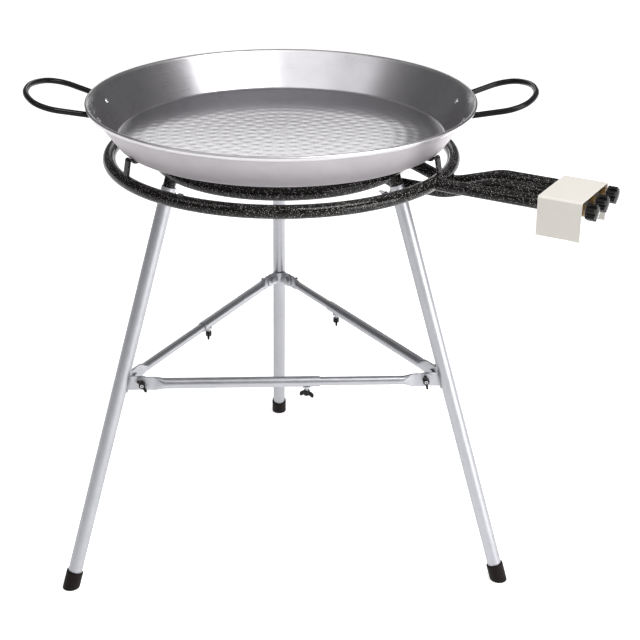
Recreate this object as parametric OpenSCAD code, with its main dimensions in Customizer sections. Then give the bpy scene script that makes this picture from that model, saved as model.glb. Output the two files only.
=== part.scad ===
// Gas paella burner on a tripod: rings of burner tube with their taps, a hammered pan
// on the burner's supports, and three splayed legs tied together by telescopic braces.
// The origin lies on the floor under the middle of the rings, +Z is up, sizes are millimetres.

/* [Burner rings] */
// Height of the rings' centre line above the floor
ring_z = 718; // [640:1:800]
// Outside diameter of the outer ring
outer_ring_d = 600; // [580:1:620]
// Outside diameter of the middle ring
middle_ring_d = 437; // [425:1:450]
// Outside diameter of the inner ring
inner_ring_d = 262; // [240:1:290]
// Diameter of the ring tube
ring_tube_d = 22; // [21.5:0.1:24]
// Wall of the ring tubes and feed tubes
gas_tube_wall = 1.5; // [1:0.1:2.5]

/* [Feed tubes] */
// Direction of the feed tubes, seen from above
arm_turn = -31.7; // [-36:0.1:-28]
// Distance of the middle feed tube from the rings' axis
arm_offset = 31.5; // [30:0.5:36]
// Diameter of a feed tube
feed_tube_d = 20.6; // [18:0.1:21]
// Diameter of the hole by which a feed tube opens into its ring
feed_mouth_d = 14; // [10:0.5:15]
// Spacing of the feed tubes and taps
tap_pitch = 46; // [44:0.1:46.2]
// How far a feed tube dips to pass under a ring
feed_dip = 28; // [26:0.5:34]
// Length of the slope into the dip
feed_dip_run = 90; // [80:1:100]
// Length of the slope up to the inner ring
feed_rise_run = 85; // [75:1:90]
// Bend radius of the feed tubes
feed_bend_r = 80; // [60:1:90]

/* [Pan supports] */
// Height of a pan support above the ring's crest
support_h = 23; // [18:0.5:40]
// How far the bend at a support's outer end stands above its bar
support_rise = 5; // [3:0.5:6]
// Width of the support bar
support_w = 16; // [10:0.5:20]
// Thickness of the support bar
support_t = 4; // [3:0.5:6]
// How far the upright of a support leans inwards
support_lean = 6; // [0:0.5:10]

/* [Pan] */
// Outside diameter of the pan's rim
pan_d = 648; // [640:1:660]
// Diameter at which the wall line meets the base
pan_base_d = 552; // [540:1:566]
// Height of the pan
pan_h = 65; // [60:0.5:72]
// Thickness of the pan's sheet
pan_sheet = 1.5; // [1:0.1:2.5]
// Outside radius of the corner between base and wall
pan_corner_r = 8; // [4:0.5:18]
// Radius of the rolled rim
pan_lip_r = 3.8; // [2.5:0.1:4.5]
// Turn of the pan on its supports
pan_turn = -1.7; // [-10:0.1:10]

/* [Pan handles] */
// Diameter of the handle rod
handle_rod_d = 9; // [7:0.5:10]
// Reach of a handle along its own slope
handle_reach = 120; // [114:0.5:125]
// Widest corner to corner width of a handle
handle_belly_w = 178; // [175:0.5:186]
// Reach at which a handle is widest
handle_belly_reach = 85; // [80:0.5:90]
// Width of the straight at the handle's tip
handle_tip_w = 69; // [67:0.5:71]
// Bend radius at the handle's widest corners
handle_corner_r = 41; // [30:1:43]
// Bend radius at the ends of the handle's tip
handle_tip_r = 100; // [60:1:102]
// Upward slope of a handle
handle_rise = 14.4; // [5:0.1:20]
// Half of the angle between a handle's two feet
handle_half_angle = 10.9; // [10.2:0.1:12]
// Height of the rivets above the pan's base
rivet_z = 39; // [34:0.5:42]
// Distance from a rivet up the wall to the end of the rod
handle_foot_up = 11; // [9:0.5:14]
// Diameter of a handle's foot
handle_foot_d = 16; // [14:0.5:18]
// Thickness of a handle's foot
handle_foot_t = 3.5; // [2:0.1:5]
// Diameter of a rivet's shank
rivet_d = 5; // [4:0.1:6]
// Diameter of a rivet's head
rivet_head_d = 10; // [8:0.1:12]
// Height of a rivet's head
rivet_head_h = 2.4; // [1.5:0.1:3]

/* [Control cover] */
// Distance from the outer ring's edge to the near end of the cover, along the feed tubes
cover_reach = 170.5; // [160:0.5:190]
// Length of the cover along the feed tubes
cover_len = 71.5; // [70:0.5:80]
// Width of the cover across the feed tubes
cover_w = 116; // [115.6:0.1:124]
// Height of the cover's top above the ring centre line
cover_up = 15.5; // [15:0.5:20]
// Height of the cover
cover_h = 63.5; // [56:0.5:70]
// Sheet thickness of the cover
cover_sheet = 1.2; // [0.8:0.1:2]
// Outside bend radius of the cover
cover_bend_r = 4; // [2.5:0.5:6]
// Depth of the tap panel inside the cover's open end
panel_inset = 6; // [4:0.5:8]
// Sheet thickness of the tap bracket
bracket_t = 2; // [1.5:0.1:3]
// Height of the tap panel above the tap axis
panel_up = 13; // [11:0.5:13.5]
// Depth of the bracket's turned down sides
bracket_side_h = 16; // [12:0.5:20]
// Diameter of a cover screw
cover_screw_d = 3.2; // [2.5:0.1:4]
// Diameter of a cover screw's head
cover_screw_head_d = 7; // [5:0.1:8]
// Height of a cover screw's head
cover_screw_head_h = 2.2; // [1.5:0.1:3]
// Distance from the bracket's near end to the first cover screw
cover_screw_in = 7; // [6:0.5:8]
// Distance between the two cover screws
cover_screw_gap = 17; // [12:0.5:19]

/* [Gas taps] */
// Diameter of a tap's body
tap_body_d = 18; // [16:0.5:19]
// Length of a tap's body behind the panel
tap_body_len = 30; // [28:0.5:31]
// Diameter of a tap's threaded nose
tap_nose_d = 12; // [11.5:0.1:13]
// Length of the nose in front of the panel
tap_nose_len = 6; // [4:0.5:7]
// Diameter of a tap's plug
plug_d = 10; // [9:0.1:10.2]
// Length of a tap's plug
plug_len = 32; // [30:0.5:32.5]
// Diameter of a tap's spindle
spindle_d = 6; // [5:0.1:6.5]
// Length of spindle inside the plug
spindle_in = 18; // [14:0.5:20]
// Travel of a knob when it is pushed
knob_push = 2.5; // [1.5:0.1:3]
// Width across the flats of a gland nut
gland_flats = 17; // [16:0.1:19]
// Thickness of a gland nut's end
gland_end = 1.6; // [1:0.1:2.2]
// Diameter of a tap's inlet stub
inlet_d = 8; // [7:0.1:9]
// Distance from the panel back to the inlet stubs
inlet_back = 15; // [12:0.5:18]
// Length of an injector
injector_len = 14; // [12:0.5:15]
// Width across the flats of an injector
injector_flats = 9; // [8:0.1:11]
// Diameter of an injector's tip
injector_tip_d = 6; // [5:0.1:7]
// Diameter of an injector's jet
jet_d = 1.2; // [0.6:0.1:2]
// Gap between an injector's tip and its feed tube
air_gap = 4; // [2:0.5:6]

/* [Knobs] */
// Diameter of a knob over its lobes
knob_d = 28; // [24:0.5:31]
// Depth of a knob
knob_h = 17; // [14:0.5:20]
// Diameter of a lobe
knob_lobe_d = 8.5; // [7:0.1:10]
// Thickness of a knob's skirt
knob_skirt_h = 3; // [2:0.1:4]
// Radius of a knob's crowned face
knob_crown_r = 36; // [30:1:60]
// Number of lobes on a knob
knob_lobes = 6; // [5:1:8]
// Gap between a knob and its gland nut
knob_gap = 3.6; // [3.4:0.1:5]
// Depth of the spindle in a knob
knob_bore_len = 9; // [7:0.5:12]

/* [Gas rail] */
// Diameter of the gas rail
rail_d = 16; // [14:0.5:18]
// Wall of the gas rail
rail_wall = 2; // [1.5:0.1:2.5]
// Distance from the middle tap to either end of the rail
rail_half = 52; // [51:0.1:52.4]
// Width across the flats of the rail plug
rail_plug_flats = 12; // [10:0.5:14]
// Length of the rail plug's head
rail_plug_head = 4; // [3:0.1:4.4]
// Length of the plug and the nozzle inside the rail
rail_neck = 1.5; // [1:0.1:2]
// Width across the flats of the hose nozzle
nozzle_flats = 14; // [12:0.5:15]
// Length of the hose nozzle's hexagon
nozzle_hex_len = 6; // [5:0.5:7]
// Diameter of the hose nozzle's tail
nozzle_d = 9; // [8:0.1:10]
// Length of the straight part of the hose nozzle's tail
nozzle_len = 24; // [20:0.5:30]
// Diameter of the hose nozzle's bore
nozzle_bore_d = 5; // [4:0.1:6]
// Length of the hose nozzle's tapered tip
nozzle_tip = 4; // [2:0.5:6]

/* [Legs] */
// Diameter of the circle on which the feet stand
foot_circle_d = 866; // [820:1:900]
// Diameter of a leg tube
leg_d = 24; // [22:0.1:25]
// Wall of a leg tube
leg_wall = 1.5; // [1.2:0.1:2]
// Distance from the ring's centre line down to the top of a leg
leg_drop = 22; // [20:0.5:26]
// Length of a spigot inside its leg
spigot_in = 48; // [47:0.5:60]
// Diameter of a rubber foot
foot_d = 29; // [28:0.1:32]
// Height of a rubber foot along the leg
foot_h = 32; // [26:0.5:40]
// Rubber left under the end of a leg tube
foot_pad = 9; // [7:0.5:12]

/* [Leg lock screws] */
// Distance from the top of a leg down to its lock screw
leg_lock_down = 14; // [12:0.5:18]
// Span of a leg lock screw's wings
leg_lock_span = 22; // [18:0.5:26]
// Height of a leg lock screw's wings
leg_lock_wing_h = 8; // [6:0.5:10]
// Thickness of a leg lock screw's wings
leg_lock_wing_t = 2.4; // [1.5:0.1:3]
// Free length of a leg lock screw
leg_lock_free = 7; // [5:0.5:10]

/* [Braces] */
// Height of the braces above the floor
brace_z = 366; // [340:1:400]
// Outside diameter of a brace's outer tube
brace_outer_d = 18; // [17.5:0.1:20]
// Outside diameter of a brace's inner tube
brace_inner_d = 15; // [14:0.1:15]
// Wall of a brace's inner tube
brace_wall = 1.2; // [1:0.1:1.6]
// Distance from the left leg to the open end of the front brace's outer tube
front_brace_step = 335; // [320:1:350]
// Distance from the right leg to the open end of the right brace's outer tube
right_brace_step = 366; // [350:1:380]
// Distance from the rear leg to the open end of the left brace's outer tube
left_brace_step = 291; // [280:1:310]
// Length of inner tube inside the outer tube
brace_overlap = 70; // [60:1:90]
// Distance from a leg's axis to a brace bolt
brace_bolt_x = 36; // [34:0.5:40]
// Height of a brace's flattened end
brace_flat_h = 24; // [22:0.5:25]
// Thickness of a brace's flattened end
brace_flat_t = 3; // [2.5:0.1:4]
// Length of flat beyond the bolt
brace_flat_len = 18; // [16:0.5:22]
// Length over which a brace tube flattens
brace_taper_len = 18; // [14:0.5:26]
// Thickness of a bracket tab
tab_t = 2.5; // [2:0.1:3]
// Height of a bracket tab
tab_h = 25; // [22:0.5:28]

/* [Brace fasteners] */
// Diameter of the bolts and lock screws
screw_d = 6; // [5:0.1:6.5]
// Thickness of a brace bolt's head
bolt_head_h = 4; // [3:0.1:5]
// Width across the flats of a brace bolt's head
bolt_flats = 10; // [9:0.1:11]
// Length of a bolt past the wing nut's seat
bolt_free = 10; // [8:0.5:12]
// Span of a wing nut
wing_span = 26; // [22:0.5:28]
// Height of a wing nut's hub
wing_hub_h = 9; // [7:0.5:10]
// Diameter of a wing nut's hub
wing_hub_d = 11; // [10:0.5:12]
// Thickness of a wing nut's wings
wing_t = 4.5; // [3:0.1:6]
// Distance from an outer tube's open end to its lock screw
brace_lock_back = 22; // [18:0.5:28]
// Bare length of a brace lock screw under its boss
brace_lock_free = 5; // [3:0.5:8]
// Diameter of a welded boss
boss_d = 13; // [11:0.5:14]
// Height of a welded boss
boss_h = 2.5; // [2:0.1:4]

/* [Clearances] */
// Radial clearance of tubes that slide in each other
slide_gap = 0.1; // [0.05:0.01:0.2]
// Radial clearance of turning pins
turn_gap = 0.05; // [0.02:0.01:0.1]
// Gap at seats that are welded, pressed or screwed
seat_gap = 0.05; // [0.02:0.01:0.1]
// Gap between a moving piece and its neighbour
free_gap = 0.3; // [0.2:0.05:0.5]

/* [Hidden] */

$fn = 48;
// Steps round the widest shapes
wide_steps = 180;
// Steps along the arcs of a drawn profile
arc_steps = 10;
// How much thinner a bend is than the straights beside it
bend_step = 0.15;
// Overrun of each cut past the face that it opens
over = 1;
// Thickness of the slices between which a brace tube flattens
slice = 0.1;

// Rings and what stands on them
tube_r = ring_tube_d / 2;
feed_r = feed_tube_d / 2;
outer_r = outer_ring_d / 2 - tube_r;
middle_r = middle_ring_d / 2 - tube_r;
inner_r = inner_ring_d / 2 - tube_r;
crest_z = ring_z + tube_r;
pan_z = crest_z + support_h;
hook_x = max(outer_r - support_t / 2 - support_lean - support_rise, pan_base_d / 2);

// Legs: the left one, then anticlockwise seen from above
leg_turns = [210, 330, 90];
leg_count = len(leg_turns);
foot_circle_r = foot_circle_d / 2;
leg_splay = atan((foot_circle_r - middle_r) / ring_z);
leg_r = leg_d / 2;
leg_bore_r = leg_r - leg_wall;
leg_run = ring_z / cos(leg_splay);
spigot_r = leg_bore_r - slide_gap;
screw_r = screw_d / 2;

// Braces: each starts at a leg and ends at the next one
brace_leg_r = middle_r + (ring_z - brace_z) * tan(leg_splay);
brace_span = 2 * brace_leg_r * sin(180 / leg_count);
brace_turn = 90 + 180 / leg_count;
brace_steps = [front_brace_step, right_brace_step, left_brace_step];
brace_outer_r = brace_outer_d / 2;
brace_inner_r = brace_inner_d / 2;
brace_bore_r = brace_inner_r + slide_gap;
brace_round_x = brace_bolt_x + brace_flat_len + brace_taper_len;
bolt_hole_r = screw_r + free_gap;
wing_nut_turns = [-55, 20, -80, 35, 15, -20];
brace_lock_turns = [-25, -30, 30];

// Control end: along the feed tubes from the rings' axis, with the height over the ring centre
taps = [-1, 0, 1];
cover_x = outer_ring_d / 2 + cover_reach;
panel_x1 = cover_x + cover_len - panel_inset;
panel_x0 = panel_x1 - bracket_t;
tap_x0 = panel_x0 - tap_body_len;
nose_x1 = panel_x1 + tap_nose_len;
plug_x1 = nose_x1 - seat_gap;
plug_x0 = plug_x1 - plug_len;
gland_x1 = nose_x1 + gland_end;
knob_x0 = gland_x1 + knob_gap;
spindle_x0 = plug_x1 - spindle_in;
spindle_x1 = knob_x0 + knob_bore_len;
inlet_x = panel_x0 - inlet_back;
injector_x0 = tap_x0 - injector_len;
feed_x1 = injector_x0 - air_gap;
bracket_x0 = cover_x + panel_inset;
bracket_w = cover_w - 2 * cover_sheet;
plate_z = -feed_r - bracket_t;
rail_r = rail_d / 2;
rail_z = plate_z - rail_r;
bracket_side_z = plate_z - bracket_side_h;
cover_screw_z = plate_z - bracket_side_h * 3 / 4;

// Pan profile, from its own base
pan_rim_r = pan_d / 2 - pan_lip_r;
pan_wall_top = pan_h - pan_lip_r;
pan_lean = atan((pan_rim_r - pan_base_d / 2) / pan_wall_top);
pan_turn_up = 90 - pan_lean;
pan_flat_r = pan_base_d / 2 - pan_corner_r * tan(pan_turn_up / 2);

// Points of an arc about a centre
function arc(cx, cy, r, a0, a1) =
    [for (i = [0:arc_steps])
        let (a = a0 + (a1 - a0) * i / arc_steps)
        [cx + r * cos(a), cy + r * sin(a)]];
// Outside radius of the pan's wall at a height over its base
function wall_r(z) = pan_base_d / 2 + z * tan(pan_lean);
// Where a feed tube at a distance from the axis meets a ring
function ring_hit(r, side) = sqrt(r * r - side * side);
// Direction, turn and tangent length of a bent path
function heading(a, b) = atan2(b[1] - a[1], b[0] - a[0]);
function bend(p, i) =
    let (t = heading(p[i], p[i + 1]) - heading(p[i - 1], p[i]))
    t > 180 ? t - 360 : t < -180 ? t + 360 : t;
function trim(p, i, r) = i == 0 || i == len(p) - 1 ? 0 : r[i - 1] * tan(abs(bend(p, i)) / 2);
function step_on(a, b, d) = a + (b - a) * d / norm(b - a);

// Round rod along a path in the XZ plane, with a bend of its own radius at each inner point;
// the bends are a hair thinner than the straights, and reach a little way into them
module bent_rod(p, rod_r, bend_r) {
    for (i = [0:len(p) - 2]) {
        from = step_on(p[i], p[i + 1], trim(p, i, bend_r));
        upto = step_on(p[i + 1], p[i], trim(p, i + 1, bend_r));
        translate([from[0], 0, from[1]])
            rotate([0, 90 - heading(p[i], p[i + 1]), 0])
                cylinder(r = rod_r, h = norm(upto - from));
    }
    if (len(p) > 2) for (i = [1:len(p) - 2]) {
        turn = bend(p, i);
        side = sign(turn);
        dir = heading(p[i - 1], p[i]);
        start = step_on(p[i], p[i - 1], trim(p, i, bend_r));
        mid = start + bend_r[i - 1] * side * [-sin(dir), cos(dir)];
        lap = atan(over / bend_r[i - 1]);
        translate([mid[0], 0, mid[1]])
            rotate([90, 0, 0])
                rotate([0, 0, dir - 90 * side + min(turn, 0) - lap])
                    rotate_extrude(angle = abs(turn) + 2 * lap)
                        translate([bend_r[i - 1], 0])
                            circle(r = rod_r - bend_step);
    }
}

// Frames: a leg's radial plane, a leg's own axis (+Z down the leg, +X to the inside),
// a brace's own axis (+X to the next leg, +Y to the inside) and the feed tubes
module leg_plane(k) {
    rotate([0, 0, leg_turns[k % leg_count]]) children();
}

module leg_axis(k) {
    leg_plane(k) translate([middle_r, 0, ring_z]) rotate([0, 180 - leg_splay, 0]) children();
}

module brace_axis(k) {
    leg_plane(k) translate([brace_leg_r, 0, brace_z]) rotate([0, 0, brace_turn]) children();
}

module brace_far_end(k) {
    brace_axis(k) translate([brace_span, 0, 0]) mirror([1, 0, 0]) children();
}

module arm() {
    rotate([0, 0, arm_turn]) translate([0, arm_offset, ring_z]) children();
}

module along_arm(x, y, z) {
    arm() translate([x, y, z]) rotate([0, 90, 0]) children();
}

// Dome whose flat face lies on the ground plane
module dome(r, h) {
    ball_r = (r * r + h * h) / (2 * h);
    intersection() {
        translate([0, 0, h - ball_r]) sphere(r = ball_r);
        cylinder(r = r + over, h = h + over);
    }
}

// Hexagon prism by its width across flats
module hexagon(flats, h) {
    cylinder(d = flats / cos(30), h = h, $fn = 6);
}

// Pair of thumb wings on a hub, seated on the ground plane
wing_outline_shares = [[0, 0.15], [0.30, 0.15], [0.72, 0.30], [0.86, 0.62], [0.86, 1.36],
                       [0.70, 1.42], [0.34, 0.98], [0, 0.98]];
wing_tip_share = 0.14;
module wings(span, hub_d, hub_h, t) {
    half = span / 2;
    cylinder(d = hub_d, h = hub_h);
    for (side = [0, 180]) rotate([0, 0, side]) rotate([90, 0, 0]) translate([0, 0, -t / 2])
        linear_extrude(t) {
            polygon([for (s = wing_outline_shares) [s[0] * half, s[1] * hub_h]]);
            translate([half * (1 - wing_tip_share), hub_h])
                circle(r = half * wing_tip_share);
        }
}

// Rings
module ring_solid(r, tube) {
    translate([0, 0, ring_z])
        rotate_extrude($fn = wide_steps)
            translate([r, 0])
                circle(r = tube);
}

module burner_ring(r, i) {
    difference() {
        translate([0, 0, ring_z]) rotate_extrude($fn = wide_steps) translate([r, 0]) difference() {
            circle(r = tube_r);
            circle(r = tube_r - gas_tube_wall);
        }
        feed_mouth(i);
    }
}

// Feed tubes: front to the outer ring, middle to the inner ring, rear to the middle ring
function feed_y(i) = taps[i] * tap_pitch;
function feed_side(i) = arm_offset + feed_y(i);
function feed_path(i, more) =
    let (cross = ring_hit(outer_r, feed_side(i)), mouth = [feed_x1 + more, 0])
    i == 0 ? [mouth, [cross, 0]]
    : i == 1 ? let (end = ring_hit(inner_r, feed_side(i)))
        [mouth, [cross + feed_dip_run, 0], [cross, -feed_dip], [end + feed_rise_run, -feed_dip], [end, 0]]
    : let (end = ring_hit(middle_r, feed_side(i)))
        [mouth, [cross + feed_dip_run, 0], [cross, -feed_dip], [end, 0]];

module feed_run(i, r, more) {
    path = feed_path(i, more);
    arm() translate([0, feed_y(i), 0])
        bent_rod(path, r, [for (p = path) feed_bend_r]);
}

// Hole by which a feed tube opens into its ring
module feed_mouth(i) {
    path = feed_path(i, 0);
    last = len(path) - 1;
    arm() translate([0, feed_y(i), 0])
        bent_rod([path[last - 1], path[last]], feed_mouth_d / 2, []);
}

module feed_tube(i, ring_r) {
    difference() {
        feed_run(i, feed_r, 0);
        feed_run(i, feed_r - gas_tube_wall, over);
        ring_solid(ring_r, tube_r);
    }
}

module outer_ring() { color("#1b1b1e") burner_ring(outer_r, 0); }
module middle_ring() { color("#1b1b1e") burner_ring(middle_r, 2); }
module inner_ring() { color("#1b1b1e") burner_ring(inner_r, 1); }
module outer_feed_tube() { color("#222226") feed_tube(0, outer_r); }
module inner_feed_tube() { color("#222226") feed_tube(1, inner_r); }
module middle_feed_tube() { color("#222226") feed_tube(2, middle_r); }

// One bent flat bar ties the rings together and carries the pan, over each leg; its outer bend stands
// higher than the bar, so the pan sits between the three bends
module support() {
    run = support_h - support_t;
    half = support_t / 2;
    bend_x = hook_x + support_rise;
    linear_extrude(support_w, center = true)
        polygon(concat(
            [[outer_r - half, 0], [outer_r + half, 0]],
            arc(bend_x, run + support_rise, support_t, 0, 90),
            [[hook_x, support_h],
             [inner_r - half, support_h], [inner_r - half, 0], [inner_r + half, 0], [inner_r + half, run],
             [middle_r - half, run], [middle_r - half, 0], [middle_r + half, 0], [middle_r + half, run],
             [hook_x, run], [bend_x, run + support_rise]]));
}

module pan_supports() {
    color("#1f1f22")
        for (k = [0:leg_count - 1])
            leg_plane(k) translate([0, 0, crest_z]) rotate([90, 0, 0]) support();
}

module leg_spigots() {
    color("#1b1b1e")
        difference() {
            for (k = [0:leg_count - 1]) leg_axis(k) cylinder(r = spigot_r, h = leg_drop + spigot_in);
            ring_solid(middle_r, tube_r);
        }
}

// Pan
module pan_bowl() {
    inner_corner_r = pan_corner_r - pan_sheet;
    rim = [wall_r(pan_wall_top), pan_wall_top];
    inward = pan_sheet * [-cos(pan_lean), sin(pan_lean)];
    color("#9a9794") translate([0, 0, pan_z]) difference() {
        union() {
            rotate_extrude($fn = wide_steps)
                polygon(concat(
                    [[0, 0]],
                    arc(pan_flat_r, pan_corner_r, pan_corner_r, -90, -pan_lean),
                    [rim, rim + inward],
                    arc(pan_flat_r, pan_corner_r, inner_corner_r, -pan_lean, -90),
                    [[0, pan_sheet]]));
            rotate_extrude($fn = wide_steps) translate(rim) circle(r = pan_lip_r);
        }
        rivet_places() translate([0, 0, -2 * pan_sheet])
            cylinder(d = rivet_d + 2 * seat_gap, h = 3 * pan_sheet);
    }
}

// Rivet places on the outside of the wall, with +Z straight out of it and -X up the wall
module foot_places(side) {
    for (end = [-1, 1])
        rotate([0, 0, pan_turn + 180 * side + end * handle_half_angle])
            translate([wall_r(rivet_z), 0, rivet_z])
                rotate([0, 90 + pan_lean, 0]) children();
}

module rivet_places() {
    for (side = [0, 1]) foot_places(side) children();
}

module handle(side) {
    foot_z = rivet_z + handle_foot_up * cos(pan_lean);
    foot_wall_r = wall_r(foot_z);
    feet = foot_wall_r * sin(handle_half_angle);
    start_x = foot_wall_r * cos(handle_half_angle);
    half = [[0, feet], [handle_belly_reach, handle_belly_w / 2], [handle_reach, handle_tip_w / 2]];
    loop = concat(half, [for (i = [2:-1:0]) [half[i][0], -half[i][1]]]);
    foot_r = handle_foot_d / 2;
    rod_r = handle_rod_d / 2;
    color("#151517") translate([0, 0, pan_z]) difference() {
        union() {
            rotate([0, 0, pan_turn + 180 * side])
                translate([start_x, 0, foot_z])
                    rotate([0, -handle_rise, 0])
                        rotate([-90, 0, 0])
                            bent_rod(loop, rod_r,
                                     [handle_corner_r, handle_tip_r, handle_tip_r, handle_corner_r]);
            foot_places(side) {
                cylinder(r = foot_r, h = handle_foot_t);
                translate([-handle_foot_up, 0, 0]) cylinder(r = rod_r + seat_gap, h = handle_foot_t);
                translate([-handle_foot_up, -rod_r, 0]) cube([handle_foot_up, handle_rod_d, handle_foot_t]);
            }
        }
        foot_places(side) {
            translate([-2 * handle_foot_d, -handle_foot_d, -handle_foot_d])
                cube([3 * handle_foot_d, 2 * handle_foot_d, handle_foot_d]);
            translate([0, 0, -over]) cylinder(d = rivet_d + 2 * seat_gap, h = handle_foot_t + 2 * over);
        }
    }
}

module pan_handle_right() { handle(0); }
module pan_handle_left() { handle(1); }

module pan_rivets() {
    inside = pan_sheet + seat_gap;
    color("#b9b9bb") translate([0, 0, pan_z]) rivet_places() {
        translate([0, 0, -inside]) cylinder(d = rivet_d, h = inside + handle_foot_t);
        translate([0, 0, handle_foot_t]) dome(rivet_head_d / 2, rivet_head_h);
        translate([0, 0, -inside]) mirror([0, 0, 1]) dome(rivet_head_d / 2, rivet_head_h);
    }
}

// Control end
module arch(w, h, r) {
    translate([-w / 2, -h]) square([w, h - r]);
    translate([-w / 2 + r, -h]) square([w - 2 * r, h]);
    for (side = [-1, 1]) translate([side * (w / 2 - r), -r]) circle(r = r);
}

module cover_screw_places() {
    for (x = [0, cover_screw_gap])
        arm()
            translate([bracket_x0 + cover_screw_in + x, cover_w / 2, cover_screw_z])
                rotate([-90, 0, 0]) children();
}

module nozzle_place() {
    arm() translate([inlet_x, rail_half, rail_z]) rotate([-90, 0, 0]) children();
}

module plug_place() {
    arm() translate([inlet_x, -rail_half, rail_z]) rotate([90, 0, 0]) children();
}

module rail_end_room() {
    cylinder(d = nozzle_flats / cos(30) + 2 * over, h = cover_w);
}

module control_cover() {
    color("#e8e2d8") difference() {
        arm() translate([cover_x, 0, cover_up]) rotate([90, 0, 90]) linear_extrude(cover_len)
            difference() {
                arch(cover_w, cover_h, cover_bend_r);
                translate([0, -cover_sheet])
                    arch(bracket_w, cover_h, cover_bend_r - cover_sheet);
            }
        nozzle_place() rail_end_room();
        cover_screw_places() translate([0, 0, -2 * cover_sheet])
            cylinder(d = cover_screw_d + 2 * seat_gap, h = 2 * cover_sheet + over);
    }
}

module cover_screws() {
    color("#c8c8ca") cover_screw_places() {
        dome(cover_screw_head_d / 2, cover_screw_head_h);
        translate([0, 0, -cover_sheet - 2 * bracket_t])
            cylinder(d = cover_screw_d, h = cover_sheet + 2 * bracket_t);
    }
}

// Bent plate under the feed tubes: its front panel holds the taps, its sides the cover
module tap_bracket() {
    length = panel_x1 - bracket_x0;
    color("#3a3a3d") difference() {
        arm() {
            translate([bracket_x0, -bracket_w / 2, plate_z]) cube([length, bracket_w, bracket_t]);
            translate([panel_x0, -bracket_w / 2, plate_z]) cube([bracket_t, bracket_w, panel_up - plate_z]);
            for (y = [-bracket_w / 2, bracket_w / 2 - bracket_t])
                translate([bracket_x0, y, bracket_side_z])
                    cube([length, bracket_t, bracket_side_h + bracket_t]);
        }
        for (i = [0:len(taps) - 1]) {
            along_arm(panel_x0 - over, feed_y(i), 0)
                cylinder(d = tap_nose_d + 2 * seat_gap, h = bracket_t + 2 * over);
            arm() translate([inlet_x, feed_y(i), plate_z - over])
                cylinder(d = inlet_d + 2 * seat_gap, h = bracket_t + 2 * over);
        }
        nozzle_place() rail_end_room();
        plug_place() rail_end_room();
        cover_screw_places() translate([0, 0, -cover_sheet - 2 * bracket_t])
            cylinder(d = cover_screw_d + 2 * seat_gap, h = 3 * bracket_t);
    }
}

module gas_rail() {
    color("#4a4a4d") difference() {
        arm() translate([inlet_x, -rail_half, rail_z]) rotate([-90, 0, 0])
            cylinder(r = rail_r, h = 2 * rail_half);
        arm() translate([inlet_x, -rail_half - over, rail_z]) rotate([-90, 0, 0])
            cylinder(r = rail_r - rail_wall, h = 2 * (rail_half + over));
        for (i = [0:len(taps) - 1])
            arm() translate([inlet_x, feed_y(i), rail_z]) cylinder(d = inlet_d + 2 * seat_gap, h = rail_d);
    }
}

module rail_plug() {
    color("#b08d3c") plug_place() {
        hexagon(rail_plug_flats, rail_plug_head);
        translate([0, 0, -rail_neck]) cylinder(r = rail_r - rail_wall - seat_gap, h = rail_neck);
    }
}

module hose_nozzle() {
    nozzle_r = nozzle_d / 2;
    color("#b08d3c") nozzle_place() difference() {
        union() {
            translate([0, 0, -rail_neck]) cylinder(r = rail_r - rail_wall - seat_gap, h = rail_neck);
            hexagon(nozzle_flats, nozzle_hex_len);
            translate([0, 0, nozzle_hex_len]) cylinder(r = nozzle_r, h = nozzle_len);
            translate([0, 0, nozzle_hex_len + nozzle_len])
                cylinder(r1 = nozzle_r, r2 = (nozzle_r + nozzle_bore_d / 2) / 2, h = nozzle_tip);
        }
        translate([0, 0, -rail_neck - over])
            cylinder(d = nozzle_bore_d, h = rail_neck + nozzle_hex_len + nozzle_len + nozzle_tip + 2 * over);
    }
}

module tap_bodies() {
    stub = -rail_z - rail_r + rail_wall;
    color("#b08d3c") for (i = [0:len(taps) - 1]) difference() {
        union() {
            along_arm(tap_x0, feed_y(i), 0) cylinder(d = tap_body_d, h = tap_body_len);
            along_arm(panel_x0, feed_y(i), 0) cylinder(d = tap_nose_d, h = nose_x1 - panel_x0);
            arm() translate([inlet_x, feed_y(i), -stub]) cylinder(d = inlet_d, h = stub);
        }
        along_arm(plug_x0 - seat_gap, feed_y(i), 0)
            cylinder(d = plug_d + 2 * turn_gap, h = plug_len + tap_nose_len);
    }
}

module gland_nuts() {
    color("#b9963f") for (i = [0:len(taps) - 1]) along_arm(panel_x1, feed_y(i), 0) difference() {
        hexagon(gland_flats, gland_x1 - panel_x1);
        translate([0, 0, -over]) cylinder(d = tap_nose_d + 2 * seat_gap, h = tap_nose_len + over);
        cylinder(d = spindle_d + 2 * free_gap, h = gland_x1 - panel_x1 + over);
    }
}

module injectors() {
    hex_len = injector_len / 3;
    color("#c8a24a") for (i = [0:len(taps) - 1]) along_arm(injector_x0, feed_y(i), 0) difference() {
        union() {
            cylinder(d = injector_tip_d, h = injector_len);
            translate([0, 0, injector_len - hex_len]) hexagon(injector_flats, hex_len);
        }
        translate([0, 0, -over]) cylinder(d = jet_d, h = injector_len - hex_len);
    }
}

module tap_plug(i) {
    color("#a8842f") along_arm(plug_x0, feed_y(i), 0) difference() {
        cylinder(d = plug_d, h = plug_len);
        translate([0, 0, spindle_x0 - plug_x0 - knob_push - free_gap])
            cylinder(d = spindle_d + 2 * turn_gap, h = plug_len);
    }
}

module tap_spindle(i) {
    color("#c9c9c6") along_arm(spindle_x0, feed_y(i), 0) cylinder(d = spindle_d, h = spindle_x1 - spindle_x0);
}

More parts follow.
